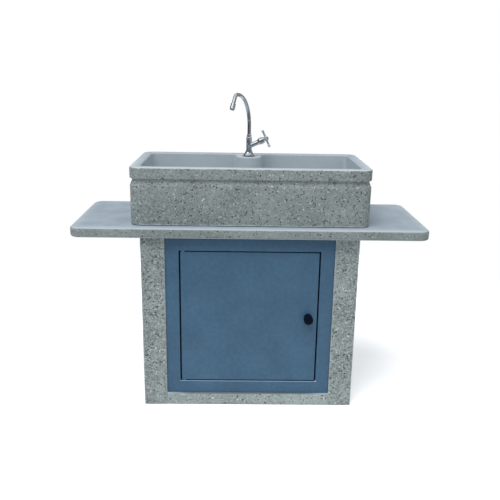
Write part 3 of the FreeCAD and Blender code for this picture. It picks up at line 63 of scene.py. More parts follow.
def linear(code):
    """An sRGB hex colour as the linear red, green and blue that a shader reads."""
    parts = [int(code[i:i + 2], 16) / 255 for i in (1, 3, 5)]
    return [c / 12.92 if c <= 0.04045 else ((c + 0.055) / 1.055) ** 2.4 for c in parts]


def colour(name, code, description):
    """A colour that a user may change, given as sRGB hex."""
    return bpy.props.FloatVectorProperty(
        name=name, description=description, subtype="COLOR", size=3, min=0, max=1, default=linear(code))


def length(name, millimetres, description):
    """A length that a user may change, given in millimetres."""
    return bpy.props.FloatProperty(
        name=name, description=description, unit="LENGTH", min=0, precision=4, default=millimetres * MM)


def angle(name, degrees, description):
    """An angle that a user may change, given in degrees."""
    return bpy.props.FloatProperty(
        name=name, description=description, subtype="ANGLE", default=math.radians(degrees))


def amount(name, default, description):
    """A plain number that a user may change."""
    return bpy.props.FloatProperty(name=name, description=description, default=default)


class SinkCabinetFinish(bpy.types.PropertyGroup):
    """Colours and grain of the cabinet's surfaces."""

    cement: colour("Cement", "#929a99", "Cement between the washed chips")
    cement_dark: colour("Damp cement", "#7d8584", "Cement where it dried darker")
    trowelled: colour("Trowelled cement", "#8d9aa4", "Smooth cement of the tops and the bowl")
    trowelled_pale: colour("Laitance", "#99a6b1", "Palest cement of the tops and the bowl")
    # This pale arris colour is smooth cement along the edges, and also a painted highlight on the front
    # edges and painted light inside the bowl and the cabinet
    worn_and_lit: colour("Worn arris", "#bac2c5", "Smooth cement along the edges")
    dark_grain: colour("Basalt", "#394044", "Dark chips in the washed faces")
    middle_grain: colour("Grey granite", "#646e70", "Grey chips in the washed faces")
    light_grain: colour("Pale granite", "#9da8a7", "Light chips in the washed faces")
    pale_grain: colour("Quartz", "#bbc4c1", "Palest chips in the washed faces")
    mortar: colour("Mortar", "#5c6264", "Raked bedding joint under the basin")
    paint: colour("Paint", "#3f607a", "Powder coat of the door and its frame")
    # This dark colour is painted shade: it darkens the rebate round the door, where the gap is in shade
    gap_shade: colour("Primer", "#10284a", "Dark primer where the coat is thin round the door")
    # This rubbed tone is partly paint that the door rubs and partly painted light: a painted highlight on
    # the sill's edge and paler washers against the shade of the gap
    rubbed: colour("Rubbed paint", "#7d93ad", "Paint on the sill's edge and the washers that the door rubs")
    # The chip is bare steel whose pale tone is also a painted glint at the opening's corner
    bare_chip_and_glint: colour("Bare steel", "#b9c4d0", "Chip at the opening's lower right corner")
    phenolic: colour("Phenolic", "#010c1e", "Moulded knob")
    rubber: colour("Rubber", "#1b1c1e", "Seals and buffers")
    chrome: colour("Chrome", "#d3d8dd", "Plated tap")
    # The dulled chrome is paler than the polished plate: a painted sheen that lightens the handle, its cap
    # and the collar
    dulled: colour("Dulled chrome", "#eef1f5", "Plated parts that hands have dulled")
    brass: colour("Brass", "#b8954f", "Bare turned brass")
    zinc: colour("Zinc", "#b4b8bb", "Plated fixings")
    stainless: colour("Stainless steel", "#c2c3c2", "Waste and strainer")
    ceramic: colour("Ceramic", "#ece8e0", "Valve discs")
    polypropylene: colour("Polypropylene", "#e4e4de", "Moulded trap")
    nylon: colour("Nylon", "#8d9092", "Wall plugs")
    panel_grain: length("Panel chips", 6.6, "Chip spacing in the panels")
    basin_grain: length("Basin chips", 5.0, "Chip spacing in the basin")
    slab_grain: length("Worktop chips", 4.6, "Chip spacing in the worktop's edge")
    basin_wall: length("Smooth bowl", 33, "Depth of the washed outside of the basin's walls")


class SinkCabinetFittings(bpy.types.PropertyGroup):
    """Sizes of the detail that is modelled on the fittings."""

    fold: length("Fold", 1.2, "Rounding of the folded steel sheet")
    frame_bar: length("Frame bar", 49.5, "Face width of the frame")
    frame_sheet: length("Frame sheet", 3, "Sheet thickness of the frame")
    stop_depth: length("Stop depth", 28, "Stop lip behind the frame's face")
    stop_lip: length("Stop lip", 14, "Width of the stop lip")
    opening_edge: length("Opening edge", 2.2, "Rounding of the frame's front edges at the door")
    leaf_sheet: length("Door sheet", 2, "Sheet thickness of the door")
    leaf_flange: length("Door flange", 14, "Inward fold at the door's back")
    leaf_edge: length("Door edge", 1.2, "Rounding of the door's front edges")
    pin_hole: length("Pin hole", 4.3, "Radius of the holes for the pivot pins")
    bush_hole: length("Bush hole", 6.2, "Radius of the door's hole for the latch")
    tail_pitch: length("Tail thread", 1.814, "Thread pitch of the tap's tail")
    waste_pitch: length("Waste thread", 2.309, "Thread pitch of the waste tube")
    moulded_edge: length("Moulded edge", 1.2, "Rounding of the trap's moulded edges")
    rib: length("Rib", 1.4, "Height of the ribs on the hand-tightened nuts")
    ribs: bpy.props.IntProperty(name="Ribs", description="Ribs round a hand-tightened nut", default=24)
    chamfer: amount("Chamfer", 0.16, "Chamfer of a hexagon nut as a share of its height")
    hole: length("Strainer hole", 2.6, "Radius of a hole in the strainer")


class SinkCabinetStage(bpy.types.PropertyGroup):
    """Where the camera stands and how the stage is lit."""

    camera_place: bpy.props.FloatVectorProperty(
        name="Camera", description="Where the camera stands", subtype="TRANSLATION", unit="LENGTH",
        default=(-0.041638, -2.409558, 1.255988))
    camera_pitch: angle("Pitch", 16.148, "Camera's turn below the horizon")
    camera_yaw: angle("Yaw", 1.062, "Camera's turn to the right")
    camera_roll: angle("Roll", 0.938, "Camera's turn about its own line of sight")
    camera_lens: bpy.props.FloatProperty(
        name="Lens", description="Focal length on a sensor 36 mm wide", subtype="DISTANCE_CAMERA",
        default=46.539)
    floor_radius: length("Floor", 2000, "Radius of the pale floor")
    sky: amount("Sky", 0.46, "Strength of the light from above")
    room: amount("Room", 0.57, "Strength of the light from the sides")
    sun: amount("Key light", 2.4, "Strength of the soft key light")
    sun_spread: angle("Key spread", 44, "Width of the key light, which softens its shadows")
    fill: amount("Fill light", 0.70, "Strength of the broad light that opens the shadows")
    fill_spread: angle("Fill spread", 90, "Width of the fill light")
    shade: amount("Shade", 0.11, "Brightness of the dark walls that polished metal mirrors")


def add(tree, kind, inputs=None, stops=None, **settings):
    """Add a shader node with its settings, its values or links by socket, and a ramp's stops. A node that is
    given as a value links its first output in use."""
    made = tree.nodes.new("ShaderNode" + kind)
    for name, value in settings.items():
        setattr(made, name, value)
    for socket, value in (inputs or {}).items():
        if isinstance(value, bpy.types.Node):
            value = next(output for output in value.outputs if output.enabled)
        if isinstance(value, bpy.types.NodeSocket):
            tree.links.new(value, made.inputs[socket])
        elif made.inputs[socket].type == "RGBA":
            made.inputs[socket].default_value = (*value[:3], 1)
        else:
            made.inputs[socket].default_value = value
    if stops:
        ramp = made.color_ramp.elements
        while len(ramp) < len(stops):
            ramp.new(1)
        for element, (position, shade) in zip(ramp, stops):
            element.position = position
            element.color = (*shade, 1)
    return made


def new_material(name):
    """A node material with its tree and its principled surface."""
    made = bpy.data.materials.new(name)
    made.use_nodes = True
    return made, made.node_tree, made.node_tree.nodes["Principled BSDF"]


def dress(material, *names):
    """Give CAD nodes a finish."""
    for name in names:
        NODES[name].material_slots[0].material = material


def per_metre(size):
    """A texture's scale for a pattern that repeats about every so many metres."""
    return 1 / size


SOFT = {"interpolation_type": "SMOOTHSTEP"}
FALLING = {"To Min": 1, "To Max": 0}


def box_share(tree, place, low, high):
    """How far a point lies from a box's middle as a share of its half size: less than one inside the box."""
    share = add(tree, "VectorMath", {0: place, 1: (low + high) / 2}, operation="SUBTRACT")
    share = add(tree, "VectorMath", {0: share, 1: (high - low) / 2}, operation="DIVIDE")
    share = add(tree, "VectorMath", {0: share}, operation="ABSOLUTE")
    x, y, z = add(tree, "SeparateXYZ", {0: share}).outputs
    widest = add(tree, "Math", {0: x, 1: y}, operation="MAXIMUM")
    return add(tree, "Math", {0: widest, 1: z}, operation="MAXIMUM")


def cast_concrete(name, box, grain, finish, wear_and_highlight, kept_share, fray=0.010, inside=None, ledge=None, tone=1.0,
                  lively=1.0):
    """Cast concrete: washed faces show angular chips of basalt, granite and quartz that stand a little proud
    of grey cement, and trowelled or moulded faces are smooth and cloudy with a few pinholes, painted dark as
    shade. Its edges turn pale by the shares in wear_and_highlight, at the front and at the back: smooth
    cement, and on the front edges a painted highlight. Faces in the box called inside are smooth and painted
    paler as painted light, and painted shade darkens the box called ledge. Tone lightens one batch of cement
    and also paints light onto some castings, and kept_share and lively say how many chips show and how much
    they differ."""
    made, tree, surface = new_material(name)
    put = partial(add, tree)
    place = put("TexCoord").outputs["Object"]

    # How far a point lies from the casting's nearest arris, which cement covers in patches
    away = put("VectorMath", {0: place, 1: (box[0] + box[1]) / 2}, operation="SUBTRACT")
    away = put("VectorMath", {0: away}, operation="ABSOLUTE")
    depth = put("VectorMath", {0: (box[1] - box[0]) / 2, 1: away}, operation="SUBTRACT")
    x, y, z = put("SeparateXYZ", {0: depth}).outputs
    near = put("Math", {0: x, 1: y}, operation="MINIMUM")
    far = put("Math", {0: x, 1: y}, operation="MAXIMUM")
    far = put("Math", {0: far, 1: z}, operation="MINIMUM")
    arris = put("Math", {0: near, 1: far}, operation="MAXIMUM")
    patch = put("TexNoise", {"Vector": place, "Scale": per_metre(0.022), "Detail": 4})
    patch = put("Math", {0: patch, 1: 0.5}, operation="SUBTRACT")
    ragged = put("Math", {0: patch, 1: fray, 2: arris}, operation="MULTIPLY_ADD")
    normal = put("NewGeometry").outputs["Normal"]
    level = put("Math", {0: put("SeparateXYZ", {0: normal}).outputs["Z"]}, operation="ABSOLUTE")
    upright = put("MapRange", {"Value": level, "From Min": 0.42, "From Max": 0.76, **FALLING}, **SOFT)
    bared = put("MapRange", {"Value": ragged, "From Min": 0, "From Max": 0.005}, **SOFT)
    washed = put("Math", {0: bared, 1: upright}, operation="MULTIPLY")
    if inside:
        outside = put("Math", {0: box_share(tree, place, *inside), 1: 1.0}, operation="GREATER_THAN")
        washed = put("Math", {0: washed, 1: outside}, operation="MULTIPLY")

    # Chips and grit are cells with uneven sides whose stone falls to chance
    stones = (finish.dark_grain, finish.middle_grain, finish.cement_dark, finish.cement, finish.light_grain,
              finish.pale_grain)
    chip_shares = (0, 0.13 * lively, 0.29 * lively, 0.48, 1 - 0.26 * lively, 1 - 0.04 * lively)
    grit_shares = (0, 0.08 * lively, 0.28 * lively, 0.58, 0.82, 1)
    layers = []
    for size, shares in ((grain, chip_shares), (grain * 0.42, grit_shares)):
        warp = put("TexNoise", {"Vector": place, "Scale": per_metre(size * 0.8), "Detail": 2})
        warp = put("VectorMath", {0: warp.outputs["Color"], 1: (0.5, 0.5, 0.5)}, operation="SUBTRACT")
        uneven = put("VectorMath", {0: warp, 1: [size * 0.55] * 3, 2: place}, operation="MULTIPLY_ADD")
        cell = put("TexVoronoi", {"Vector": uneven, "Scale": per_metre(size)})
        side = put("TexVoronoi", {"Vector": uneven, "Scale": per_metre(size)}, feature="DISTANCE_TO_EDGE")
        chance = put("SeparateColor", {0: cell.outputs["Color"]}).outputs
        gap = put("MapRange", {"Value": chance[1], "To Min": 0.03, "To Max": 0.20}, **SOFT)
        stone = put("Math", {0: side, 1: gap}, operation="SUBTRACT")
        stone = put("MapRange", {"Value": stone, "From Min": 0, "From Max": 0.05}, **SOFT)
        tones = put("ValToRGB", {0: chance[0]}, stops=list(zip(shares, stones)))
        tones.color_ramp.interpolation = "CONSTANT"
        layers.append((stone, tones, chance[2]))
    chip, chip_tones, luck = layers[0]
    grit, grit_tones = layers[1][:2]
    damp = put("TexNoise", {"Vector": place, "Scale": per_metre(0.16), "Detail": 4})
    damp = put("MapRange", {"Value": damp, "From Min": 0.35, "From Max": 0.65}, **SOFT)
    cement = put("Mix", {0: damp, 6: finish.cement_dark, 7: finish.cement}, data_type="RGBA")
    sparse = put("Math", {0: grit, 1: 0.75}, operation="MULTIPLY")
    cement = put("Mix", {0: sparse, 6: cement, 7: grit_tones}, data_type="RGBA")
    luck = put("Math", {0: luck, 1: kept_share}, operation="LESS_THAN")
    kept = put("Math", {0: chip, 1: luck}, operation="MULTIPLY")
    grains = put("Mix", {0: kept, 6: cement, 7: chip_tones}, data_type="RGBA")
    grains = put("VectorMath", {0: grains, "Scale": tone}, operation="SCALE")

    # Smooth skin with clouds of laitance and pinholes left by air, the pinholes painted dark as shade in
    # their hollows. It turns pale towards the edges as smooth cement, with a painted highlight on the front
    # edges, and painted light makes it paler inside
    cloud = put("TexNoise", {"Vector": place, "Scale": per_metre(0.07), "Detail": 6})
    cloud = put("MapRange", {"Value": cloud, "From Min": 0.32, "From Max": 0.68}, **SOFT)
    skin = put("Mix", {0: cloud, 6: finish.trowelled, 7: finish.trowelled_pale}, data_type="RGBA")
    worn_and_lit = put("MapRange", {"Value": ragged, "From Min": 0, "From Max": 0.045, **FALLING}, **SOFT)
    front_highlight_and_wear = put("MapRange", {"Value": put("SeparateXYZ", {0: place}).outputs["Y"], "From Min": box[0].y,
                               "From Max": box[1].y, "To Min": wear_and_highlight[0], "To Max": wear_and_highlight[1]})
    worn_and_lit = put("Math", {0: worn_and_lit, 1: front_highlight_and_wear}, operation="MULTIPLY")
    # Painted light: faces inside the bowl and the cabinet take the pale arris colour so that they look lit
    if inside:
        painted_light_inside = put("MapRange", {"Value": outside, "To Min": 0.62, "To Max": 0})
        worn_and_lit = put("Math", {0: worn_and_lit, 1: painted_light_inside}, operation="MAXIMUM")
    skin = put("Mix", {0: worn_and_lit, 6: skin, 7: finish.worn_and_lit}, data_type="RGBA")
    bubble = put("TexVoronoi", {"Vector": place, "Scale": per_metre(0.014)})
    rare = put("SeparateColor", {0: bubble.outputs["Color"]}).outputs[0]
    rare = put("Math", {0: rare, 1: 0.72}, operation="GREATER_THAN")
    hole = put("MapRange", {"Value": bubble, "From Min": 0.05, "From Max": 0.09, **FALLING}, **SOFT)
    hole = put("Math", {0: hole, 1: rare}, operation="MULTIPLY")
    shadow = put("Math", {0: hole, 1: 0.6}, operation="MULTIPLY")
    skin = put("Mix", {0: shadow, 6: skin, 7: finish.middle_grain}, data_type="RGBA")
    face = put("Mix", {0: washed, 6: skin, 7: grains}, data_type="RGBA")
    # Painted shade: basalt colour darkens the ledge at the foot of the door frame, over the lit top arris of
    # the floor slab
    if ledge:
        painted_ledge_shade = put("MapRange", {"Value": box_share(tree, place, *ledge), "From Min": 0.7, "To Min": 0.7,
                                  "To Max": 0}, **SOFT)
        face = put("Mix", {0: painted_ledge_shade, 6: face, 7: finish.dark_grain}, data_type="RGBA")
    tree.links.new(face.outputs[2], surface.inputs["Base Color"])

    # Chips stand about a millimetre proud, and sand roughens the cement between them
    sand = put("TexNoise", {"Vector": place, "Scale": per_metre(0.0015), "Detail": 3})
    sand = put("Math", {0: grit, 1: sand}, operation="ADD")
    sand = put("Math", {0: sand, 1: 0.4}, operation="MULTIPLY")
    proud = put("Math", {0: kept, 1: 0.9, 2: sand}, operation="MULTIPLY_ADD")
    float_marks = put("TexNoise", {"Vector": place, "Scale": per_metre(0.004), "Detail": 5})
    float_marks = put("Math", {0: float_marks, 1: 0.18}, operation="MULTIPLY")
    smooth = put("Math", {0: float_marks, 1: hole}, operation="SUBTRACT")
    relief = put("Mix", {0: washed, 2: smooth, 3: proud})
    bump = put("Bump", {"Height": relief, "Strength": 0.65, "Distance": 0.0010})
    tree.links.new(bump.outputs[0], surface.inputs["Normal"])
    rough = put("MapRange", {"Value": washed, "To Min": 0.55, "To Max": 0.82})
    tree.links.new(rough.outputs[0], surface.inputs["Roughness"])
    return made


def powder_coat(name, finish, *zones):
    """Satin powder coat on folded steel: even colour with soft mottling and a fine orange peel that blurs
    reflections. Each zone is a box and the tone that shows in it: painted shade in the door's gap, rubbed
    paint with a painted highlight, and bare steel with a painted glint."""
    made, tree, surface = new_material(name)
    put = partial(add, tree)
    place = put("TexCoord").outputs["Object"]
    cloud = put("TexNoise", {"Vector": place, "Scale": per_metre(0.11), "Detail": 3})
    # Real mottling is finer: it is drawn 14 mm wide so that it shows
    mottle = put("TexNoise", {"Vector": place, "Scale": per_metre(0.014), "Detail": 2})
    mixed = put("Mix", {0: 0.45, 2: cloud, 3: mottle})
    tone = put("ValToRGB", {0: mixed}, stops=(
        (0.3, [c * 0.84 for c in finish.paint]), (0.7, [c * 1.16 for c in finish.paint])))
    tone = tone.outputs["Color"]
    for low, high, shade in zones:
        shown = put("Math", {0: box_share(tree, place, low, high), 1: 1.0}, operation="LESS_THAN")
        tone = put("Mix", {0: shown, 6: tone, 7: shade}, data_type="RGBA").outputs[2]
    tree.links.new(tone, surface.inputs["Base Color"])
    peel = put("TexNoise", {"Vector": place, "Scale": per_metre(0.0025), "Detail": 2})
    bump = put("Bump", {"Height": peel, "Strength": 0.25, "Distance": 0.0002})
    tree.links.new(bump.outputs[0], surface.inputs["Normal"])
    surface.inputs["Roughness"].default_value = 0.48
    surface.inputs["Specular IOR Level"].default_value = 0.35
    return made


def plain_finish(name, tone, metallic, low, high, spot, dent=0.0, lines=0.0, specular=0.5):
    """A finish whose gloss and shade vary in spots of a given size. Where lines is a spacing, tool marks run
    round the piece, one above the other, and catch the light."""
    made, tree, surface = new_material(name)
    put = partial(add, tree)
    place = put("TexCoord").outputs["Object"]
    cloud = put("TexNoise", {"Vector": place, "Scale": per_metre(spot), "Detail": 4})
    if lines:
        squeezed = put("Mapping", {"Vector": place, "Scale": (0.03, 0.03, 1)})
        marks = put("TexNoise", {"Vector": squeezed, "Scale": per_metre(lines), "Detail": 3})
        cloud = put("Mix", {0: 0.55, 2: cloud, 3: marks})
    rough = put("MapRange", {"Value": cloud, "From Min": 0.3, "From Max": 0.7, "To Min": low,
                             "To Max": high})
    tree.links.new(rough.outputs[0], surface.inputs["Roughness"])
    shade = put("ValToRGB", {0: cloud}, stops=(
        (0.3, [c * 0.88 for c in tone]), (0.7, [min(1, c * 1.05) for c in tone])))
    tree.links.new(shade.outputs[0], surface.inputs["Base Color"])
    surface.inputs["Metallic"].default_value = metallic
    surface.inputs["Specular IOR Level"].default_value = specular
    if dent:
        bump = put("Bump", {"Height": cloud, "Strength": 0.3, "Distance": dent})
        tree.links.new(bump.outputs[0], surface.inputs["Normal"])
    return made


def middle(node):
    """The middle of a CAD node's box."""
    low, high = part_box(node)
    return (low + high) / 2


def foot(node, along=2):
    """The middle of the lower end of a CAD node's box along an axis."""
    spot = middle(node)
    spot[along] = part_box(node)[0][along]
    return spot


def pick(piece, kind, test):
    """Go to edit mode with those edges or polygons selected whose middle passes a test."""
    bpy.ops.object.mode_set(mode="OBJECT")
    mesh = piece.data
    for item in (*mesh.vertices, *mesh.edges, *mesh.polygons):
        item.select = False
    for item in getattr(mesh, kind):
        spots = [mesh.vertices[i].co for i in item.vertices]
        item.select = bool(test(sum(spots, Vector()) / len(spots)))
    kinds = ("vertices", "edges", "polygons")
    bpy.context.tool_settings.mesh_select_mode = [kind == name for name in kinds]
    bpy.ops.object.mode_set(mode="EDIT")


def start(name, primitive_add, **settings):
    """Add a primitive with nothing else selected, and name it."""
    bpy.ops.object.select_all(action="DESELECT")
    primitive_add(**settings)
    bpy.context.object.name = name
    return bpy.context.object


def only(piece):
    """Make a piece the one selected object, in object mode."""
    if bpy.context.object and bpy.context.object.mode != "OBJECT":
        bpy.ops.object.mode_set(mode="OBJECT")
    bpy.ops.object.select_all(action="DESELECT")
    piece.select_set(True)
    bpy.context.view_layer.objects.active = piece


def settle(piece, spot, axis=(0, 0, 1)):
    """Stand a piece that was modelled along Z at a spot, along an axis, and keep that place in its mesh."""
    only(piece)
    piece.rotation_euler = Vector(axis).to_track_quat("Z", "Y").to_euler()
    piece.location = spot
    bpy.ops.object.transform_apply(location=True, rotation=True, scale=True)
    return piece


def modify(piece, kind, **settings):
    """Add a modifier and apply it."""
    only(piece)
    made = piece.modifiers.new(kind.lower(), kind)
    for name, value in settings.items():
        setattr(made, name, value)
    bpy.ops.object.modifier_apply(modifier=made.name)


WELD = 0.001 * MM


def carve(piece, tool, operation="DIFFERENCE"):
    """Cut a piece with a tool, or keep what lies in both, and drop the tool."""
    modify(piece, "BOOLEAN", object=tool, operation=operation, solver="EXACT")
    bpy.data.objects.remove(tool)
    bpy.ops.object.mode_set(mode="EDIT")
    bpy.ops.mesh.select_all(action="SELECT")
    bpy.ops.mesh.remove_doubles(threshold=WELD)
    bpy.ops.mesh.dissolve_degenerate(threshold=WELD)
    bpy.ops.object.mode_set(mode="OBJECT")


def turned(name, profile, steps=64):
    """Draw a profile of radii and heights by extruding a point, spin it about Z and merge its seam."""
    piece = start(name, bpy.ops.mesh.primitive_plane_add, size=MM)
    bpy.ops.object.mode_set(mode="EDIT")
    bpy.ops.mesh.select_mode(type="VERT")
    bpy.ops.mesh.select_all(action="SELECT")
    bpy.ops.mesh.merge(type="CENTER")
    here = Vector()
    for number, (radius, height) in enumerate(profile):
        there = Vector((radius, 0, height))
        if number:
            bpy.ops.mesh.extrude_region_move(TRANSFORM_OT_translate={"value": there - here})
        else:
            bpy.ops.transform.translate(value=there)
        here = there
    bpy.ops.mesh.select_all(action="SELECT")
    bpy.ops.mesh.spin(steps=steps, angle=math.tau, center=(0, 0, 0), axis=(0, 0, 1))
    bpy.ops.mesh.select_all(action="SELECT")
    bpy.ops.mesh.remove_doubles(threshold=WELD)
    bpy.ops.mesh.normals_make_consistent(inside=False)
    bpy.ops.object.mode_set(mode="OBJECT")
    return piece


def ring(*points):
    """A profile that closes on its first point."""
    return [*points, points[0]]


def thread(radius, bottom, top, pitch):
    """Points of a thread's outline from one height to another."""
    turns = max(1, round((top - bottom) / pitch))
    step = (top - bottom) / turns
    crest, root, deep = 0.10, 0.60, 0.55 * pitch
    points = []
    for turn in range(turns):
        valley = bottom + turn * step
        points += [(radius - deep, valley), (radius, valley + step * (0.5 - crest)),
                   (radius, valley + step * (0.5 + crest))]
    return [*points, (radius - deep * root, top)]


def hexagon_nut(name, node, bore, chamfer, axis):
    """A nut with chamfered corners in a CAD nut's place: a six-sided prism that a turned blank trims."""
    low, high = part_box(node)
    size = high - low
    along = max(range(3), key=lambda i: abs(axis[i]))
    height = size[along]
    corner = max(size[i] for i in range(3) if i != along) / 2
    flat = corner * math.cos(math.pi / 6)
    piece = start(name, bpy.ops.mesh.primitive_cylinder_add, vertices=6, radius=corner, depth=height)
    half, slope = height / 2, height * chamfer
    sink, crown, past = slope * 0.6, flat * 0.97, corner * 1.01
    blank = turned("blank", ring(
        (bore, sink - half), (bore + sink, -half), (crown, -half), (past, slope - half),
        (past, half - slope), (crown, half), (bore + sink, half), (bore, half - sink)), 96)
    carve(piece, blank, "INTERSECT")
    widest = max((i for i in range(3) if i != along), key=lambda i: size[i])
    only(piece)
    piece.rotation_euler.z = math.pi / 2 if widest == 0 else 0
    bpy.ops.object.transform_apply(location=False, rotation=True, scale=False)
    return settle(piece, middle(node), axis)


def ribbed(piece, radius, low, high, rib, count):
    """Raise every other stretch of a turned wall into a rib with sloping sides."""
    pitch, near, shorter = math.tau / count, 0.02 * radius, 0.94

    def on_rib(spot):
        wall = abs(math.hypot(spot.x, spot.y) - radius) < near and low < spot.z < high
        return wall and (math.atan2(spot.y, spot.x) % pitch) < pitch / 2

    pick(piece, "polygons", on_rib)
    bpy.ops.mesh.extrude_region_move(TRANSFORM_OT_translate={"value": (0, 0, 0)})
    grow = 1 + rib / radius
    bpy.ops.transform.resize(value=(grow, grow, shorter), center_override=(0, 0, (low + high) / 2))
    bpy.ops.object.mode_set(mode="OBJECT")


def finished(piece, material, slot, body, *nodes):
    """Dress a piece, smooth its round faces and let it stand for CAD nodes of a body."""
    only(piece)
    bpy.ops.object.shade_smooth_by_angle(angle=math.radians(32))
    piece.data.materials.clear()
    piece.data.materials.append(material)
    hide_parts(*nodes)
    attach(piece, body)


class SINK_OT_castings(bpy.types.Operator):
    """Finish the cast panels, slabs and basin"""

    bl_idname = "sink.castings"
    bl_label = "Castings"

    def execute(self, context):
        finish = context.scene.sink_finish
        left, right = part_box("left_side_panel"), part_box("right_side_panel")
        behind_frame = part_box("frame_head_rail")[0].y
        skin = 1 * MM
        # Faces inside this box, the cabinet's inside, are painted paler as painted light
        room = (Vector((left[1].x - skin, behind_frame, 0)),
                Vector((right[0].x + skin, left[1].y - skin, left[1].z + skin)))
        # The ledge along the floor slab's top front edge gets painted shade
        low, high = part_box("floor_slab")
        shade_margin = 4 * MM
        ledge = (Vector((low.x, low.y - shade_margin, high.z - shade_margin)),
                 Vector((high.x, low.y + 2 * shade_margin, high.z + shade_margin)))
        # Tone lightens the panels and most of all the floor slab: partly a lighter batch of cement, partly
        # painted light for the brightness they have near the floor
        for name, tone, wear_and_highlight, shaded_ledge, kept, lively in (
                ("left_side_panel", 1.12, 0.45, None, 0.80, 1.35),
                ("right_side_panel", 1.14, 0.45, None, 0.80, 1.35),
                ("floor_slab", 1.36, 0.15, ledge, 0.55, 0.9),
                ("back_panel", 1.0, 0.45, None, 0.80, 1.35)):
            made = cast_concrete(f"washed_concrete_{name}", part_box(name), finish.panel_grain, finish,
                                 (wear_and_highlight, wear_and_highlight), kept, inside=room, ledge=shaded_ledge, tone=tone, lively=lively)
            dress(made, name)
        # The front and back shares pale the edges: smooth cement, and on the front edges a painted highlight
        made = cast_concrete("washed_concrete_worktop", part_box("worktop_slab"), finish.slab_grain, finish,
                             (0.55, 0.25), 0.5, fray=0.004, lively=0.8)
        dress(made, "worktop_slab")
        low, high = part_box("basin")
        wall = Vector((finish.basin_wall, finish.basin_wall, -20 * MM))
        bowl = (low + wall, high - wall)
        bowl[0].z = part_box("waste_strainer")[0].z - 10 * MM
        made = cast_concrete("washed_concrete_basin", (low, high), finish.basin_grain, finish,
                             (0.95, 0.28), 0.72, inside=bowl, tone=1.03)
        dress(made, "basin")
        # Raked mortar: grey, sandy and dull, sunk in the shadow of the joint
        dress(plain_finish("raked_mortar", finish.mortar, 0, 0.8, 0.95, 0.004, dent=0.0008), "basin_bedding")
        return {"FINISHED"}


FINISHES = {}


class SINK_OT_finishes(bpy.types.Operator):
    """Make the finishes of the steel, plated, moulded and rubber parts and dress the CAD nodes"""

    bl_idname = "sink.finishes"
    bl_label = "Finishes"

    def execute(self, context):
        finish = context.scene.sink_finish
        FINISHES.update({
            # Satin powder coat: slate blue with a soft, broad sheen
            "blue_painted_steel": powder_coat("satin_powder_coat", finish),
            # Zinc plate: bluish white, a little cloudy, with a dull gloss
            "zinc_plated_steel": plain_finish("zinc_plate", finish.zinc, 1, 0.26, 0.46, 0.006, lines=0.0012),
            # Moulded phenolic: near black with a blue cast and a small soft highlight
            "black_phenolic": plain_finish("moulded_phenolic", finish.phenolic, 0, 0.30, 0.38, 0.01,
                                           specular=0.08),
            # Moulded rubber: matt charcoal with a fine moulded grain
            "black_rubber": plain_finish("moulded_rubber", finish.rubber, 0, 0.6, 0.8, 0.003, dent=0.0002),
            # Chrome plate: a hard mirror with a faint haze left by hands and water
            "chromed_brass": plain_finish("polished_chrome_plate", finish.chrome, 1, 0.04, 0.10, 0.012),
            # Turned brass: yellow metal with fine rings from the lathe
            "bare_brass": plain_finish("turned_brass", finish.brass, 1, 0.20, 0.40, 0.005, lines=0.0009),
            # Brushed stainless steel: pale grey with fine lines and a blurred mirror
            "stainless_steel": plain_finish("brushed_stainless", finish.stainless, 1, 0.20, 0.36, 0.004,
                                            lines=0.0008),
            # Lapped ceramic: ivory white, smooth and softly polished
            "alumina_ceramic": plain_finish("lapped_ceramic", finish.ceramic, 0, 0.12, 0.2, 0.004),
            # Moulded polypropylene: waxy white with a satin skin
            "white_polypropylene": plain_finish("moulded_polypropylene", finish.polypropylene, 0, 0.36, 0.52,
                                                0.016, dent=0.0002),
            # Moulded nylon: mid grey with a dry, even gloss
            "grey_nylon": plain_finish("moulded_nylon", finish.nylon, 0, 0.4, 0.55, 0.005, dent=0.0001),
        })
        for part in frame["record"]["subparts"]:
            if part["material_slot"] in FINISHES:
                dress(FINISHES[part["material_slot"]], part["node"])
        # Dulled chrome: hands have blurred the mirror of the handle and the collar, and a paler plate colour
        # paints a sheen on them
        dulled = plain_finish("dulled_chrome_plate", finish.dulled, 1, 0.26, 0.38, 0.006)
        dress(dulled, "cross_handle", "handle_cap", "spout_collar")
        # Rubbed powder coat: the turning door has polished the washers, and their pale tone also paints
        # light into the shade of the gap
        for washer in ("lower_pivot_washer", "upper_pivot_washer"):
            rubbed = (*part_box(washer), finish.rubbed)
            dress(powder_coat(f"rubbed_powder_coat_{washer}", finish, rubbed), washer)
        return {"FINISHED"}


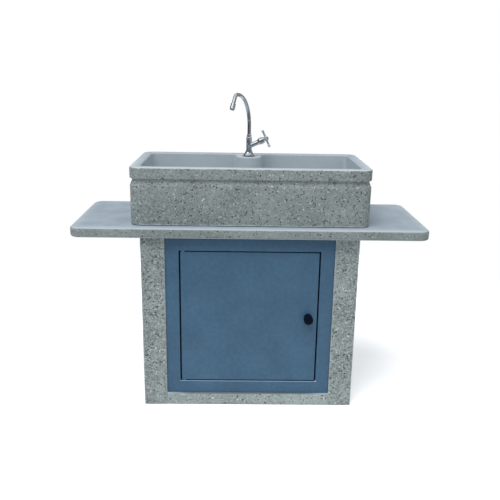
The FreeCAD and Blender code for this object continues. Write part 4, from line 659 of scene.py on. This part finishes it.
class SINK_OT_door(bpy.types.Operator):
    """Model the welded steel frame and the folded door leaf"""

    bl_idname = "sink.door"
    bl_label = "Frame and door"

    def execute(self, context):
        sizes = context.scene.sink_fittings
        bars = ("frame_hinge_stile", "frame_latch_stile", "frame_head_rail", "frame_sill_rail")
        low = Vector([min(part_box(bar)[0][i] for bar in bars) for i in range(3)])
        high = Vector([max(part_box(bar)[1][i] for bar in bars) for i in range(3)])

        def sheet(name, low, high, border):
            piece = start(name, bpy.ops.mesh.primitive_plane_add, size=1, rotation=(math.pi / 2, 0, 0))
            piece.scale = (high.x - low.x, high.z - low.z, 1)
            piece.location = ((low.x + high.x) / 2, low.y, (low.z + high.z) / 2)
            bpy.ops.object.transform_apply(location=True, rotation=True, scale=True)
            bpy.ops.object.mode_set(mode="EDIT")
            bpy.ops.mesh.select_mode(type="FACE")
            bpy.ops.mesh.select_all(action="SELECT")
            bpy.ops.mesh.inset(thickness=border)
            return piece

        def loop(low, high, y):
            centre, reach = (low + high) / 2, (high - low) / 2

            def on_loop(spot):
                across = abs(abs(spot.x - centre.x) - reach.x) < MM / 10
                upward = abs(abs(spot.z - centre.z) - reach.z) < MM / 10
                return (across or upward) and abs(spot.y - y) < MM / 10

            return on_loop

        def fold_back(depth):
            bpy.ops.mesh.extrude_region_move(TRANSFORM_OT_translate={"value": (0, depth, 0)})

        def fold_in(low, high, width, y):
            bpy.ops.mesh.extrude_region_move(TRANSFORM_OT_translate={"value": (0, 0, 0)})
            size, centre = high - low, (low + high) / 2
            bpy.ops.transform.resize(value=(1 - 2 * width / size.x, 1, 1 - 2 * width / size.z),
                                     center_override=(centre.x, y, centre.z))

        def thicken(piece, thickness):
            bpy.ops.object.mode_set(mode="OBJECT")
            modify(piece, "SOLIDIFY", thickness=thickness, offset=-1, use_even_offset=True)
            modify(piece, "BEVEL", width=min(sizes.fold, thickness * 0.42), segments=3, limit_method="ANGLE",
                   angle_limit=math.radians(40), use_clamp_overlap=False)

        def drill_for_pins(piece):
            for pin in ("lower_pivot_pin", "upper_pivot_pin"):
                pin_low, pin_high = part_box(pin)
                drill = start("drill", bpy.ops.mesh.primitive_cylinder_add, vertices=48,
                              radius=sizes.pin_hole, depth=pin_high.z - pin_low.z, location=middle(pin))
                carve(piece, drill)

        welded = sheet("welded_door_frame", low, high, sizes.frame_bar)
        bpy.ops.mesh.delete(type="FACE")
        bar = Vector((sizes.frame_bar, 0, sizes.frame_bar))
        pick(welded, "edges", loop(low + bar, high - bar, low.y))
        fold_back(sizes.stop_depth)
        fold_in(low + bar, high - bar, sizes.stop_lip, low.y + sizes.stop_depth)
        pick(welded, "edges", loop(low + bar, high - bar, low.y))
        bpy.ops.mesh.bevel(offset=sizes.opening_edge, segments=4, affect="EDGES")
        pick(welded, "edges", loop(low, high, low.y))
        fold_back(high.y - low.y)
        thicken(welded, sizes.frame_sheet)
        skin = Vector((sizes.frame_sheet / 2,) * 3)
        edge = sizes.opening_edge
        # The rebate is painted dark as painted shade in the gap round the door
        rebate = (low + bar - skin, high - bar + skin)
        rebate[0].y = low.y + edge * 1.6
        # The sill's edge takes the rubbed tone, which also paints the highlight along it
        sill = (Vector((rebate[0].x, low.y - edge, low.z + sizes.frame_bar - edge * 1.3)),
                Vector((rebate[1].x, low.y + edge * 0.4, low.z + sizes.frame_bar + edge)))
        # A bare chip at the opening's lower right corner, whose pale tone is also a painted glint
        corner = Vector((high.x - sizes.frame_bar, low.y, low.z + sizes.frame_bar))
        chip = (corner - skin * 1.5, corner + skin * 1.5)
        drill_for_pins(welded)
        finish = context.scene.sink_finish
        coat = powder_coat("satin_powder_coat_on_frame", finish, (*rebate, finish.gap_shade),
                           (*sill, finish.rubbed), (*chip, finish.bare_chip_and_glint))
        finished(welded, coat, "blue_painted_steel", "cabinet", *bars)

        low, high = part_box("door_leaf")
        leaf = sheet("folded_door_leaf", low, high, sizes.leaf_flange)
        pick(leaf, "edges", loop(low, high, low.y))
        fold_back(high.y - low.y)
        fold_in(low, high, sizes.leaf_flange, high.y)
        pick(leaf, "edges", loop(low, high, low.y))
        bpy.ops.mesh.bevel(offset=sizes.leaf_edge, segments=4, affect="EDGES")
        thicken(leaf, sizes.leaf_sheet)
        drill_for_pins(leaf)
        spindle = middle("latch_bush")
        drill = start("drill", bpy.ops.mesh.primitive_cylinder_add, vertices=48, radius=sizes.bush_hole,
                      depth=5 * sizes.leaf_sheet, rotation=(math.pi / 2, 0, 0),
                      location=(spindle.x, low.y, spindle.z))
        carve(leaf, drill)
        finished(leaf, FINISHES["blue_painted_steel"], "blue_painted_steel", "door", "door_leaf")
        return {"FINISHED"}


class SINK_OT_nuts(bpy.types.Operator):
    """Model the hexagon nuts of the tap's tail, the waste and the latch"""

    bl_idname = "sink.nuts"
    bl_label = "Hexagon nuts"

    def execute(self, context):
        chamfer = context.scene.sink_fittings.chamfer
        for node, bore, slot, body, axis in (
                ("tail_nut", 0.0112, "bare_brass", "cabinet", (0, 0, 1)),
                ("waste_nut", 0.0242, "bare_brass", "cabinet", (0, 0, 1)),
                ("latch_bush_nut", 0.0062, "zinc_plated_steel", "door", (0, 1, 0)),
                ("latch_cam_nut", 0.0026, "zinc_plated_steel", "latch", (0, 1, 0))):
            nut = hexagon_nut(f"chamfered_{node}", node, bore, chamfer, axis)
            finished(nut, FINISHES[slot], slot, body, node)
        return {"FINISHED"}


class SINK_OT_threads(bpy.types.Operator):
    """Model the threaded tail of the tap and the threaded waste with its strainer"""

    bl_idname = "sink.threads"
    bl_label = "Threaded tubes and strainer"

    def execute(self, context):
        sizes = context.scene.sink_fittings
        low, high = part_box("tap_tail")
        shank, spigot, waterway, tip = (high.x - low.x) / 2, 0.0095, 0.0075, 0.0104
        lead, runout, clear = 0.0012, 0.0004, 0.002
        thread_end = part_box("tail_nut")[0].z - low.z - clear
        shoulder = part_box("tap_base_flange")[0].z - low.z
        top = high.z - low.z
        tail = turned("threaded_tap_tail", ring(
            (waterway, 0), (tip - lead, 0), *thread(tip, lead, thread_end, sizes.tail_pitch),
            (shank, thread_end + runout), (shank, shoulder), (spigot, shoulder), (spigot, top),
            (waterway, top)))
        settle(tail, foot("tap_tail"))
        finished(tail, FINISHES["bare_brass"], "bare_brass", "cabinet", "tap_tail")

        low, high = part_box("waste_fitting")
        disc_low, disc_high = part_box("waste_strainer")
        radius, half = (disc_high.x - disc_low.x) / 2, (disc_high.z - disc_low.z) / 2
        flange, tube, bore, thick = (high.x - low.x) / 2, 0.024, 0.0205, 0.004
        top, step, seat = high.z - low.z, disc_low.z - low.z, radius + 0.0002
        lead, fine, dish, neck = 0.0015, 0.0006, 0.0008, top - 0.055
        waste = turned("threaded_waste_fitting", ring(
            (bore, 0), (tube - lead, 0), *thread(tube, lead, neck - 1 * MM, sizes.waste_pitch),
            (tube - fine, neck), (tube - fine, top - thick), (flange - fine, top - thick),
            (flange, top - thick * 0.8), (flange, top - thick * 0.5), (flange - dish, top - thick * 0.28),
            (flange - thick, top - thick * 0.05), (flange - thick * 1.5, top), (seat + dish, top),
            (seat, top - fine), (seat, step), (bore + fine, step), (bore, step - fine)), 96)
        settle(waste, foot("waste_fitting"))
        finished(waste, FINISHES["stainless_steel"], "stainless_steel", "cabinet", "waste_fitting")

        press, sunk, above = 0.0004, 0.0005, 0.0003
        strainer = turned("pressed_waste_strainer", [
            (0, -half), (radius - press, -half), (radius, press - half), (radius, half - press),
            (radius - fine, half), (0, half)], 96)
        for ring_radius, count in ((0.0125, 10), (0.006, 5)):
            for number in range(count):
                bearing = math.tau * number / count
                punch = turned("punch", [
                    (0, -2 * half), (sizes.hole, -2 * half), (sizes.hole, half - sunk),
                    (sizes.hole + dish, half + above), (0, half + above)], 24)
                settle(punch, (ring_radius * math.cos(bearing), ring_radius * math.sin(bearing), 0))
                carve(strainer, punch)
        settle(strainer, middle("waste_strainer"))
        finished(strainer, FINISHES["stainless_steel"], "stainless_steel", "cabinet", "waste_strainer")
        return {"FINISHED"}


class SINK_OT_trap(bpy.types.Operator):
    """Model the ribbed nuts and cup of the bottle trap and its cover ring"""

    bl_idname = "sink.trap"
    bl_label = "Bottle trap"

    def execute(self, context):
        sizes = context.scene.sink_fittings
        slot = "white_polypropylene"
        rib, edge, lip = sizes.rib, sizes.moulded_edge, 0.006

        def grip(wall, bottom, top):
            plain = 2.5 * edge
            return [(wall - edge, bottom), (wall, bottom + edge), (wall, bottom + plain),
                    (wall, top - plain), (wall, top - edge), (wall - edge, top)]

        def moulded(name, node, profile, along, wall, bottom, top):
            piece = turned(name, profile, sizes.ribs * 4)
            plain = 2.4 * edge
            ribbed(piece, wall, bottom + plain, top - plain, rib, sizes.ribs)
            settle(piece, foot(node, along), Matrix.Identity(3)[along])
            finished(piece, FINISHES[slot], slot, "cabinet", node)

        low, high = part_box("trap_union_nut")
        wall, height, bore, seat = (high.x - low.x) / 2 - rib, high.z - low.z, 0.0202, 0.0242
        moulded("ribbed_union_nut", "trap_union_nut", ring(
            (bore, 0), *grip(wall, 0, height), (seat, height), (seat, lip), (bore, lip)), 2, wall, 0, height)

        low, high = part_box("outlet_nut")
        wall, height, bore, seat = (high.x - low.x) / 2 - rib, high.y - low.y, 0.0196, 0.0232
        moulded("ribbed_outlet_nut", "outlet_nut", ring(
            (seat, 0), *grip(wall, 0, height), (bore, height), (bore, height - lip), (seat, height - lip)),
            1, wall, 0, height)

        low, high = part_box("trap_cup")
        wall, height = (high.x - low.x) / 2 - rib, high.z - low.z
        collar, body, seat, inner = height - 0.017, 0.034, 0.0342, 0.031
        moulded("ribbed_trap_cup", "trap_cup", [
            (0, 0), (body - 0.009, 0), (body - 0.006, 0.0008), (body - 0.002, 0.004), (body, 0.009),
            (body, collar - 0.004), *grip(wall, collar, height), (seat, height), (seat, collar),
            (inner, collar), (inner, 0.009), (inner - lip, lip / 2), (0, lip / 2)],
            2, wall, collar, height)

        low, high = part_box("outlet_rosette")
        wall, height, bore = (high.x - low.x) / 2, high.y - low.y, 0.0202
        cover = turned("domed_outlet_rosette", ring(
            (bore, 0), (0.0215, 0), (wall * 0.80, height * 0.15), (wall * 0.92, height * 0.42),
            (wall * 0.985, height * 0.75), (wall, height), (wall - edge, height), (bore, height * 0.9)), 96)
        settle(cover, foot("outlet_rosette", 1), (0, 1, 0))
        finished(cover, FINISHES[slot], slot, "cabinet", "outlet_rosette")
        return {"FINISHED"}


class SINK_OT_screws(bpy.types.Operator):
    """Model the cross-headed screws that hold the frame to the side panels"""

    bl_idname = "sink.screws"
    bl_label = "Frame screws"

    def execute(self, context):
        low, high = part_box("frame_screws")
        head, rise, shank = 0.0055, 0.0035, 0.003
        plain, point, pitch = 0.012, 0.006, 0.0024
        cross = (0.0056, 0.0011, 0.0042)
        tip = (high.x - low.x) / 2
        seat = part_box("frame_latch_stile")[1].x - context.scene.sink_fittings.frame_sheet
        depth = tip - seat
        screws = []
        model = turned("cross_headed_screw", [
            (0, -rise), (0.0018, -rise), (0.0036, -rise * 0.9), (0.0048, -rise * 0.62), (head, -rise * 0.2),
            (head, 0), (shank, 0), *thread(shank, plain, depth - point, pitch), (0, depth)], 40)
        for turn in (0, math.pi / 2):
            blade = start("blade", bpy.ops.mesh.primitive_cube_add, size=1, rotation=(0, 0, turn),
                          location=(0, 0, -rise))
            blade.scale = cross
            bpy.ops.object.transform_apply(location=True, rotation=True, scale=True)
            carve(model, blade)
        for side in (-1, 1):
            for level in (low.z + head, (low.z + high.z) / 2, high.z - head):
                only(model)
                bpy.ops.object.duplicate()
                copy = bpy.context.object
                settle(copy, (side * seat, (low.y + high.y) / 2, level), (side, 0, 0))
                screws.append(copy)
        bpy.data.objects.remove(model)
        only(screws[0])
        for screw in screws:
            screw.select_set(True)
        bpy.ops.object.join()
        screws[0].name = "cross_headed_frame_screws"
        finished(screws[0], FINISHES["zinc_plated_steel"], "zinc_plated_steel", "cabinet", "frame_screws")
        return {"FINISHED"}


class SINK_OT_stage(bpy.types.Operator):
    """Set up the pale floor, the soft light and the camera"""

    bl_idname = "sink.stage"
    bl_label = "Stage"

    def execute(self, context):
        stage = context.scene.sink_stage
        scene = context.scene
        scene.view_settings.view_transform = "Standard"
        floor = start("stage_floor", bpy.ops.mesh.primitive_circle_add, vertices=96,
                      radius=stage.floor_radius, fill_type="NGON")
        # Matt white board: pale, without gloss, and the camera sees it white outside the shadow
        made, tree, surface = new_material("matt_white_floor")
        put = partial(add, tree)
        surface.inputs["Base Color"].default_value = (*linear("#dededc"), 1)
        surface.inputs["Roughness"].default_value = 0.9
        surface.inputs["Specular IOR Level"].default_value = 0
        path = put("LightPath").outputs
        paper = put("BsdfDiffuse", {"Color": (1, 1, 1)})
        glow = put("Emission", {"Color": (1, 1, 1), "Strength": 0.25})
        seen = put("AddShader", {0: paper, 1: glow})
        both = put("MixShader", {0: path["Is Camera Ray"], 1: surface, 2: seen})
        tree.links.new(both.outputs[0], tree.nodes["Material Output"].inputs["Surface"])
        floor.data.materials.append(made)

        # Daylight for the surfaces, white for the camera, and dark walls with a bright ceiling for mirrors
        world = bpy.data.worlds.new("stage_sky")
        scene.world = world
        world.use_nodes = True
        tree = world.node_tree
        tree.nodes.clear()
        put = partial(add, tree)
        path = put("LightPath").outputs
        ahead = put("TexCoord").outputs["Generated"]
        x, y, z = put("SeparateXYZ", {0: ahead}).outputs
        height = put("MapRange", {"Value": z, "From Min": 0.05, "From Max": 0.5, "To Min": stage.room,
                                  "To Max": stage.sky}, **SOFT)
        leftward = put("MapRange", {"Value": x, "From Min": -1, "To Min": 1.40, "To Max": 0.68}, **SOFT)
        strength = put("Math", {0: height, 1: leftward}, operation="MULTIPLY")
        daylight = put("Background", {"Color": linear("#eef4fb"), "Strength": strength})
        walls = put("MapRange", {"Value": x, "From Min": -0.3, "From Max": 0.9, "To Min": stage.shade,
                                 "To Max": stage.shade * 3}, **SOFT)
        ceiling = put("MapRange", {"Value": z, "From Min": 0.58, "From Max": 0.80, "To Max": 0.9}, **SOFT)
        window = put("VectorMath", {0: ahead, 1: Vector((-0.50, -0.55, 0.67))}, operation="DOT_PRODUCT")
        window = put("MapRange", {"Value": window, "From Min": 0.86, "From Max": 0.95, "To Max": 1.8},
                     **SOFT)
        brighter = put("Math", {0: walls, 1: ceiling}, operation="MAXIMUM")
        brighter = put("Math", {0: brighter, 1: window}, operation="MAXIMUM")
        mirrored = put("Background", {"Color": linear("#f2f5fa"), "Strength": brighter})
        metal = put("MixShader", {0: path["Is Glossy Ray"], 1: daylight, 2: mirrored})
        behind = put("MapRange", {"Value": y, "From Min": 0.88, "From Max": 0.98}, **SOFT)
        past = put("Math", {0: path["Is Glossy Ray"], 1: behind}, operation="MULTIPLY")
        past = put("Math", {0: path["Is Transmission Ray"], 1: past}, operation="MAXIMUM")
        backdrop = put("Math", {0: path["Is Camera Ray"], 1: past}, operation="MAXIMUM")
        white = put("Background", {"Color": (1, 1, 1), "Strength": 1})
        both = put("MixShader", {0: backdrop, 1: metal, 2: white})
        put("OutputWorld", {0: both})

        for name, energy, spread, ahead in (
                ("key_light", stage.sun, stage.sun_spread, (0.26, 0.42, -1.0)),
                ("fill_light", stage.fill, stage.fill_spread, (-0.9, 0.5, -0.7))):
            bpy.ops.object.light_add(type="SUN")
            lamp = context.object
            lamp.name = name
            lamp.data.energy = energy
            lamp.data.angle = spread
            lamp.visible_glossy = False
            lamp.rotation_euler = Vector(ahead).to_track_quat("-Z", "Y").to_euler()

        bpy.ops.object.camera_add()
        camera = context.object
        camera.name = "photo_camera"
        pitch, yaw, roll = stage.camera_pitch, stage.camera_yaw, stage.camera_roll
        ahead = Vector((math.sin(yaw) * math.cos(pitch), math.cos(yaw) * math.cos(pitch), -math.sin(pitch)))
        right = Vector((math.cos(yaw), -math.sin(yaw), 0))
        up = right.cross(ahead)
        side = right * math.cos(roll) + up * math.sin(roll)
        top = up * math.cos(roll) - right * math.sin(roll)
        turn = Matrix((side, top, -ahead)).transposed().to_4x4()
        camera.matrix_world = Matrix.Translation(stage.camera_place) @ turn
        camera.data.sensor_width = 36
        camera.data.lens = stage.camera_lens
        scene.camera = camera
        return {"FINISHED"}


class SINK_PT_panel(bpy.types.Panel):
    """Lists the steps that dress the cabinet"""

    bl_label = "Sink cabinet"
    bl_idname = "SINK_PT_panel"
    bl_space_type = "VIEW_3D"
    bl_region_type = "UI"
    bl_category = "Sink cabinet"

    def draw(self, context):
        for step in STEPS:
            self.layout.operator(step.bl_idname)


GROUPS = {"sink_finish": SinkCabinetFinish, "sink_fittings": SinkCabinetFittings,
          "sink_stage": SinkCabinetStage}
STEPS = (SINK_OT_castings, SINK_OT_finishes, SINK_OT_door, SINK_OT_nuts, SINK_OT_threads, SINK_OT_trap,
         SINK_OT_screws, SINK_OT_stage)


def register():
    for made in (*GROUPS.values(), *STEPS, SINK_PT_panel):
        bpy.utils.register_class(made)
    for name, group in GROUPS.items():
        setattr(bpy.types.Scene, name, bpy.props.PointerProperty(type=group))


def unregister():
    for name in GROUPS:
        delattr(bpy.types.Scene, name)
    for made in (SINK_PT_panel, *reversed(STEPS), *GROUPS.values()):
        bpy.utils.unregister_class(made)


def main():
    register()
    for step in STEPS:
        group, name = step.bl_idname.split(".")
        getattr(getattr(bpy.ops, group), name)()


if __name__ == "__main__":
    main()
